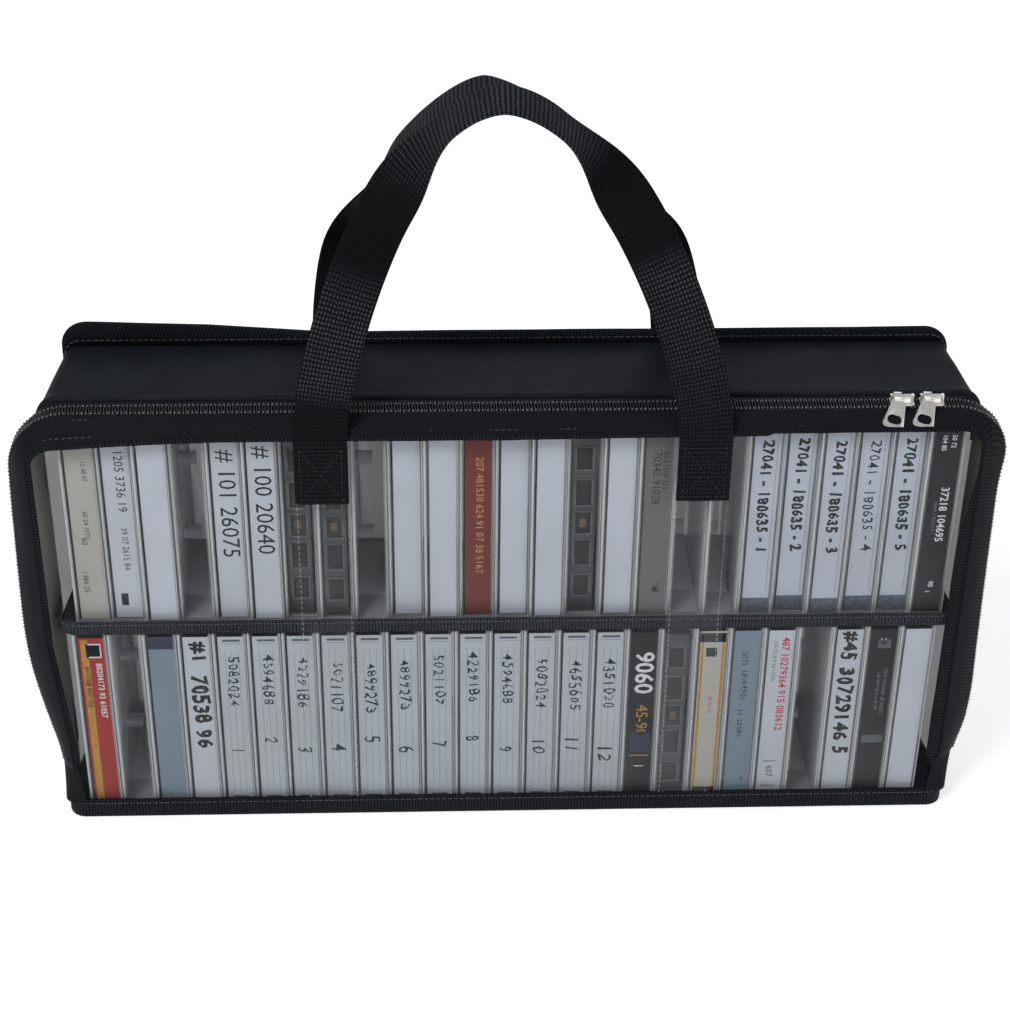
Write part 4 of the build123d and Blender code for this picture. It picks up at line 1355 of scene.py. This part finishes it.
# ---------------------------------------------------------------- cassettes
def box_corner(row, index):
    """Front lower left corner of a box; the upper row's boxes stand a little unevenly."""
    if row == "upper":
        wander = 1.5 * (1 + math.sin(2.3 * index))
        return UPPER_X + index * BOX_PITCH, FRONT + 5.0 + wander, SHELF_TOP
    return LOWER_X + index * BOX_PITCH, FRONT + 2.0, BOX_FLOOR


class BAG_OT_boxes(bpy.types.Operator):
    """Clear cassette boxes, lids and trays, with rounded edges"""
    bl_idname = "bag.boxes"
    bl_label = "Cassette boxes"

    def execute(self, context):
        colour = context.scene.bag_colours.box
        for row, first, low in (("upper", UPPER_X, SHELF_TOP), ("lower", LOWER_X, BOX_FLOOR)):
            for half, gain, clearness, width, segments in (("lid", 1.0, 0.008, 0.35, 2),
                                                           ("tray", 1.05, 0.50, 0.3, 1)):
                plastic = box_plastic(f"Box {half} {row}", rgba(colour, gain), clearness, first,
                                      low)
                softened(f"{row}_box_{half}s", f"{row}_{half}s_clear", plastic, width, "bag",
                         segments, slot="clear_box_plastic")
        return {"FINISHED"}


BLOCK_FACES = ((0, 2, 3, 1), (4, 5, 7, 6), (0, 1, 5, 4), (2, 6, 7, 3), (0, 4, 6, 2),
               (1, 3, 7, 5))


def block(middle, reach, front, back, low, high):
    """Corners of a block, from its middle and half width."""
    return [(x, y, z) for z in (low, high) for y in (front, back)
            for x in (middle - reach, middle + reach)]


def blocks_object(name, blocks, finish):
    """Blocks with their edges just taken off."""
    points = [point for corners in blocks for point in corners]
    faces = [tuple(8 * count + k for k in face)
             for count in range(len(blocks)) for face in BLOCK_FACES]
    made = mesh_object(name, points, faces, finish)
    rounding = made.modifiers.new("Edges", "BEVEL")
    rounding.width, rounding.segments = 0.12 * MM, 1
    return made


# openings of a cassette's thick edge: distance from its middle, and height
OPENINGS = ((-36, 12), (-17, 14), (0, 12), (17, 14), (36, 12))


class BAG_OT_tapes(bpy.types.Operator):
    """Cassettes in their boxes, with the openings of their thick edge where they show"""
    bl_idname = "bag.tapes"
    bl_label = "Cassettes"

    def execute(self, context):
        shell = moulded("Cassette shell", (0.032, 0.033, 0.036), 0.42)
        for row in ("upper", "lower"):
            softened(f"{row}_tapes", f"{row}_tapes_moulded", shell, 0.45, "bag",
                     slot="tape_shell")
        frames, holes, pads = [], [], []
        for row, index in (("upper", 6), ("upper", 7), ("upper", 14), ("lower", 17)):
            x, y, z = box_corner(row, index)
            middle, face, centre = x + BOX_THICK / 2 - 0.3, y + 1.75, z + BOX_HEIGHT / 2
            front, back = face - 0.35, face + 0.2
            for offset, height in OPENINGS:
                low, high = centre + offset - height / 2, centre + offset + height / 2
                holes.append(block(middle, 3.6, face - 0.04, face + 0.3, low, high))
                frames += [block(middle + side * 4.1, 0.5, front, back, low - 0.8, high + 0.8)
                           for side in (-1, 1)]
                frames += [block(middle, 4.6, front, back, z - 0.4, z + 0.4)
                           for z in (low - 0.4, high + 0.4)]
            pads.append(block(middle, 1.7, face - 0.3, back, centre - 2.4, centre + 2.4))
        for name, blocks, finish in (
                ("edge_frames", frames, moulded("Cassette rim", (0.10, 0.105, 0.11), 0.35)),
                ("edge_openings", holes,
                 moulded("Cassette opening", (0.006, 0.006, 0.007), 0.7)),
                ("pressure_pads", pads, cloth("Pressure pad", (0.16, 0.12, 0.08), 0.9))):
            settle(blocks_object(f"tape_{name}", blocks, finish), "bag", slot="tape_shell")
        return {"FINISHED"}


CARD_TONES = {"white_cards": ((0.70, 0.74, 0.83),), "lettered_cards": ((0.66, 0.70, 0.77),),
              "ruled_cards": ((0.60, 0.65, 0.70),), "pale_blue_cards": ((0.64, 0.70, 0.80),),
              "cream_cards": ((0.58, 0.56, 0.51),),
              "grey_cards": ((0.185, 0.188, 0.186), (0.25, 0.33, 0.41)),
              "dark_cards": ((0.012, 0.012, 0.013),),
              "red_cards": ((0.200, 0.042, 0.032), (0.44, 0.034, 0.028))}
INKS = {"black": (0.010, 0.010, 0.012), "blue": (0.020, 0.028, 0.065),
        "grey": (0.10, 0.11, 0.125), "white": (0.78, 0.79, 0.82), "gold": (0.50, 0.25, 0.03),
        "red": (0.50, 0.04, 0.04), "green": (0.04, 0.22, 0.12), "band": (0.10, 0.12, 0.15),
        "faint": (0.20, 0.21, 0.23), "orange": (0.62, 0.25, 0.12)}
RULED = range(4, 16)
# bars of ink: row, cards, ink, and of each bar its place across the card, the distance of its
# upper edge from the card's top, its width and its height
BARS = (("lower", RULED, "grey", *[(across, 8.0, 0.13, 89.0) for across in (-3.1, 0.1, 3.3)],
         (0.2, 1.6, 8.6, 1.3), (0.2, 4.0, 9.6, 0.2), (0.0, 100.2, 8.0, 1.3)),
        ("upper", range(19, 24), "band", (0.0, 95.6, CARD_WIDTH, 8.4)),
        ("upper", range(19, 24), "grey", (4.6, 2.0, 0.15, 90.0)),
        ("upper", [1], "black", (-1.6, 90, 3.4, 7.0)),
        ("upper", [16], "black", (1.0, 88, 2.6, 2.6)),
        ("upper", [24], "white", (-0.6, 92, 2.2, 0.5)),
        ("lower", [0], "gold", (-3.6, 1.0, 3.6, 102.0)),
        ("lower", [0], "white", (0.7, 3.2, 7.4, 8.6)),
        ("lower", [0], "blue", (0.7, 4.0, 6.2, 7.0)),
        ("lower", [2], "blue", (0.0, 0.0, CARD_WIDTH, 7.0)),
        ("lower", [16], "blue", (0.0, 62.0, CARD_WIDTH - 3, 13.0)),
        ("lower", [16], "gold", (0.0, 77.0, CARD_WIDTH - 3, 0.7)),
        ("lower", [16], "white", (0.0, 84.0, 5.0, 0.5)),
        ("lower", [18], "gold", (-5.2, 1.0, 1.3, 102.0), (5.2, 1.0, 1.3, 102.0)),
        ("lower", [18], "black", (0.0, 1.0, CARD_WIDTH, 5.5), (-0.6, 10.0, 5.4, 5.4),
         (0.0, 98.6, CARD_WIDTH - 2, 4.0)),
        ("lower", [20], "black", (-0.6, 82.0, 6.6, 0.5), (-0.6, 98.0, 6.6, 0.5)),
        ("lower", [23], "grey", (0.4, 6.0, 6.4, 5.4), (0.0, 66.0, CARD_WIDTH - 2, 5.0)))
# plain numbers: piece, ink, slot, weight, shake of the hand, and of each number its row, card,
# text, size, distance from the card's top and place across it
NUMBERS = (
    ("black_print", "black", "lettered_card", 0.0, 0.0,
     ("upper", 1, "48 1205 3736 19", 6.2, 1, 1.2), ("upper", 4, "# 101 26075", 11.8, 9, 0.2),
     ("upper", 5, "# 100 20640", 11.8, 6, 0.2), ("upper", 0, "60", 4.0, 57, -1.0),
     ("lower", 20, "607", 5.0, 85, -0.6), ("lower", 19, "90", 2.6, 92, 2.4)),
    ("grey_print", "black", "lettered_card", 0.0, 0.0,
     ("upper", 0, "12 48 07", 3.2, 14, 2.0), ("upper", 0, "60 24 1073", 3.4, 42, 0.6),
     ("upper", 0, "1384 25", 3.8, 76, -2.4), ("upper", 1, "39 07 2615 84", 4.2, 52, 1.0),
     ("upper", 16, "84 61709 253", 3.8, 11, 3.0), ("upper", 16, "70345 91028", 5.6, 11, -1.0),
     ("upper", 16, "105 72", 2.8, 84, 2.0)),
    ("white_print", "white", "dark_card", 0.02, 0.0,
     ("upper", 24, "30 72", 3.2, 3, 2.4), ("upper", 24, "104 85", 3.2, 3, -2.0),
     ("upper", 24, "37218 104695", 5.4, 32, 1.2), ("upper", 24, "90", 3.6, 86, 0.4),
     ("lower", 0, "80204173 93 61057", 4.2, 15, 2.6),
     ("lower", 0, "56 11308 4207 915", 3.2, 17, -3.4), ("lower", 16, "9060", 13.0, 12, 0.0),
     ("lower", 23, "25", 4.0, 5, -0.4)),
    ("faint_print", "faint", "dark_card", 0.0, 0.0,
     ("upper", 24, "20415 7 308 61 9 1", 2.4, 40, -2.4),
     ("lower", 23, "3072 14 650 81 27 4093 5", 2.7, 24, 2.6),
     ("lower", 23, "106 2947 35 0 61 8 270", 2.5, 26, -0.6)),
    ("gold_print", "gold", "dark_card", 0.0, 0.0, ("lower", 16, "45-90", 8.4, 45, 0.0)),
    ("orange_print", "orange", "red_card", 0.0, 0.0,
     ("upper", 11, "207 481530 624 91 07 38 5162", 5.2, 14, 0.4)),
    ("red_print", "red", "lettered_card", 0.015, 0.0,
     ("lower", 20, "487 10279364 915 083612", 5.4, 4, 2.0),
     ("lower", 18, "30 72 15", 3.0, 40, 0.4)),
    ("green_print", "green", "lettered_card", 0.0, 0.0,
     ("lower", 20, "274 0518 9 36 12745", 2.9, 6, -3.0)),
    ("marker_numbers", "black", "lettered_card", 0.040, 0.10,
     *[("upper", k, f"27041 - 180635 - {k - 18}", 7.2, 6, 0.0) for k in (19, 20, 21, 23)],
     ("lower", 3, "#1  70538 96", 10.8, 3, 0.6), ("lower", 22, "#45 30729146 5", 10.4, 1, 0.4)),
    ("thin_marker_numbers", "blue", "pale_blue_card", 0.010, 0.12,
     ("upper", 22, "27041 - 180635 - 4", 6.9, 7, 0.0)),
    ("pen_numbers", "blue", "ruled_card", 0.006, 0.15,
     *[("lower", k, str(4107352 + 60917 * (k * k % 17)), 7.6, 14 + 3 * math.sin(k), 0.4)
       for k in RULED],
     *[("lower", k, str(k - 3), 9.6, 66 + 4 * math.sin(2.2 * k), 0.0) for k in RULED],
     ("lower", 19, "3071 58264907 - 16 25083", 4.2, 12, -0.6)))


def card_face(row, index):
    """Middle across, depth and top edge of a card's face."""
    x, y, z = box_corner(row, index)
    right = x + BOX_THICK - BOX_WALL - 0.15
    return right - CARD_WIDTH / 2, y + CARD_FACE - 0.03, z + (BOX_HEIGHT + CARD_HEIGHT) / 2


def ink_bar(row, index, across, down, width, height):
    """Corners of a flat bar of ink on a card."""
    middle, face, top = card_face(row, index)
    left, right, high = middle + across - width / 2, middle + across + width / 2, top - down
    return [(left, face, high - height), (right, face, high - height), (right, face, high),
            (left, face, high)]


def numerals(name, entries, finish, slot, bold, shake):
    """Plain numbers that read down their cards; shake makes them look written by hand."""
    whole = bmesh.new()
    for count, (row, index, text, size, down, across) in enumerate(entries):
        curve = bpy.data.curves.new(name, "FONT")
        curve.body, curve.size = text, size * MM
        curve.align_x, curve.align_y = "LEFT", "CENTER"
        curve.resolution_u, curve.offset = 2, bold * size * MM
        curve.space_character = 1.0 + 1.2 * shake
        item = new_object(name, curve)
        mesh = worked_out(item)
        for spot in mesh.vertices if shake else ():
            x, y = spot.co.x / MM, spot.co.y / MM
            reach = shake * size * MM
            spot.co.x += reach * ripple((x, y, count), size * 0.42, 3)
            spot.co.y += reach * ripple((x, y, count), size * 0.5, 8) * 1.4
            spot.co.y += reach * ripple((x, 0, count), size * 3, 9) * 1.6
        middle, face, top = card_face(row, index)
        mesh.transform(Matrix(((0, 1, 0, (middle + across) * MM), (0, 0, -1, face * MM),
                               (-1, 0, 0, (top - down) * MM), (0, 0, 0, 1))))
        remove(item)
        whole.from_mesh(mesh)
    plain = bpy.data.meshes.new(name)
    whole.to_mesh(plain)
    whole.free()
    plain.materials.append(finish)
    return settle(new_object(name, plain), "bag", slot=slot)


class BAG_OT_cards(bpy.types.Operator):
    """Cards of the boxes, with ruled lines, bars and plain numbers in print and in pen"""
    bl_idname = "bag.cards"
    bl_label = "Cards"

    def execute(self, context):
        for node, tones in CARD_TONES.items():
            data = nodes[node].data
            data.materials.clear()
            data.materials.append(paper(f"Card {node}", *tones))
        inks = {colour: ink(f"{colour.title()} ink", tone) for colour, tone in INKS.items()}
        marks = {colour: [] for colour in inks}
        for row, cards, colour, *bars in BARS:
            marks[colour] += [ink_bar(row, card, *bar) for card in cards for bar in bars]
        for colour, bars in marks.items():
            if bars:
                points = [point for corners in bars for point in corners]
                faces = [tuple(range(4 * k, 4 * k + 4)) for k in range(len(bars))]
                settle(mesh_object(f"card_marks_{colour}", points, faces, inks[colour],
                                   smooth=False), "bag", slot="lettered_card")
        for name, colour, slot, bold, shake, *entries in NUMBERS:
            numerals(name, entries, inks[colour], slot, bold, shake)
        return {"FINISHED"}


STEPS = (BAG_OT_stage, BAG_OT_top_cloth, BAG_OT_bindings, BAG_OT_zip_tapes, BAG_OT_zip_teeth,
         BAG_OT_sliders, BAG_OT_clear_sheets, BAG_OT_handles, BAG_OT_stitches, BAG_OT_boxes,
         BAG_OT_tapes, BAG_OT_cards)


class BAG_PT_panel(bpy.types.Panel):
    """Lists the bag's sizes, colours and steps"""
    bl_idname = "BAG_PT_panel"
    bl_label = "Cassette bag"
    bl_space_type = "VIEW_3D"
    bl_region_type = "UI"
    bl_category = "Cassette bag"

    def draw(self, context):
        for group in (context.scene.bag_sizes, context.scene.bag_colours):
            for name in group.__annotations__:
                self.layout.prop(group, name)
        for step in STEPS:
            self.layout.operator(step.bl_idname)


CLASSES = (BagSizes, BagColours, *STEPS, BAG_PT_panel)


def register():
    for kind in CLASSES:
        bpy.utils.register_class(kind)
    bpy.types.Scene.bag_sizes = bpy.props.PointerProperty(type=BagSizes)
    bpy.types.Scene.bag_colours = bpy.props.PointerProperty(type=BagColours)


def unregister():
    del bpy.types.Scene.bag_sizes, bpy.types.Scene.bag_colours
    for kind in reversed(CLASSES):
        bpy.utils.unregister_class(kind)


def main():
    """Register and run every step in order."""
    register()
    for step in STEPS:
        _, name = step.bl_idname.split(".")
        getattr(bpy.ops.bag, name)()


if __name__ == "__main__":
    main()
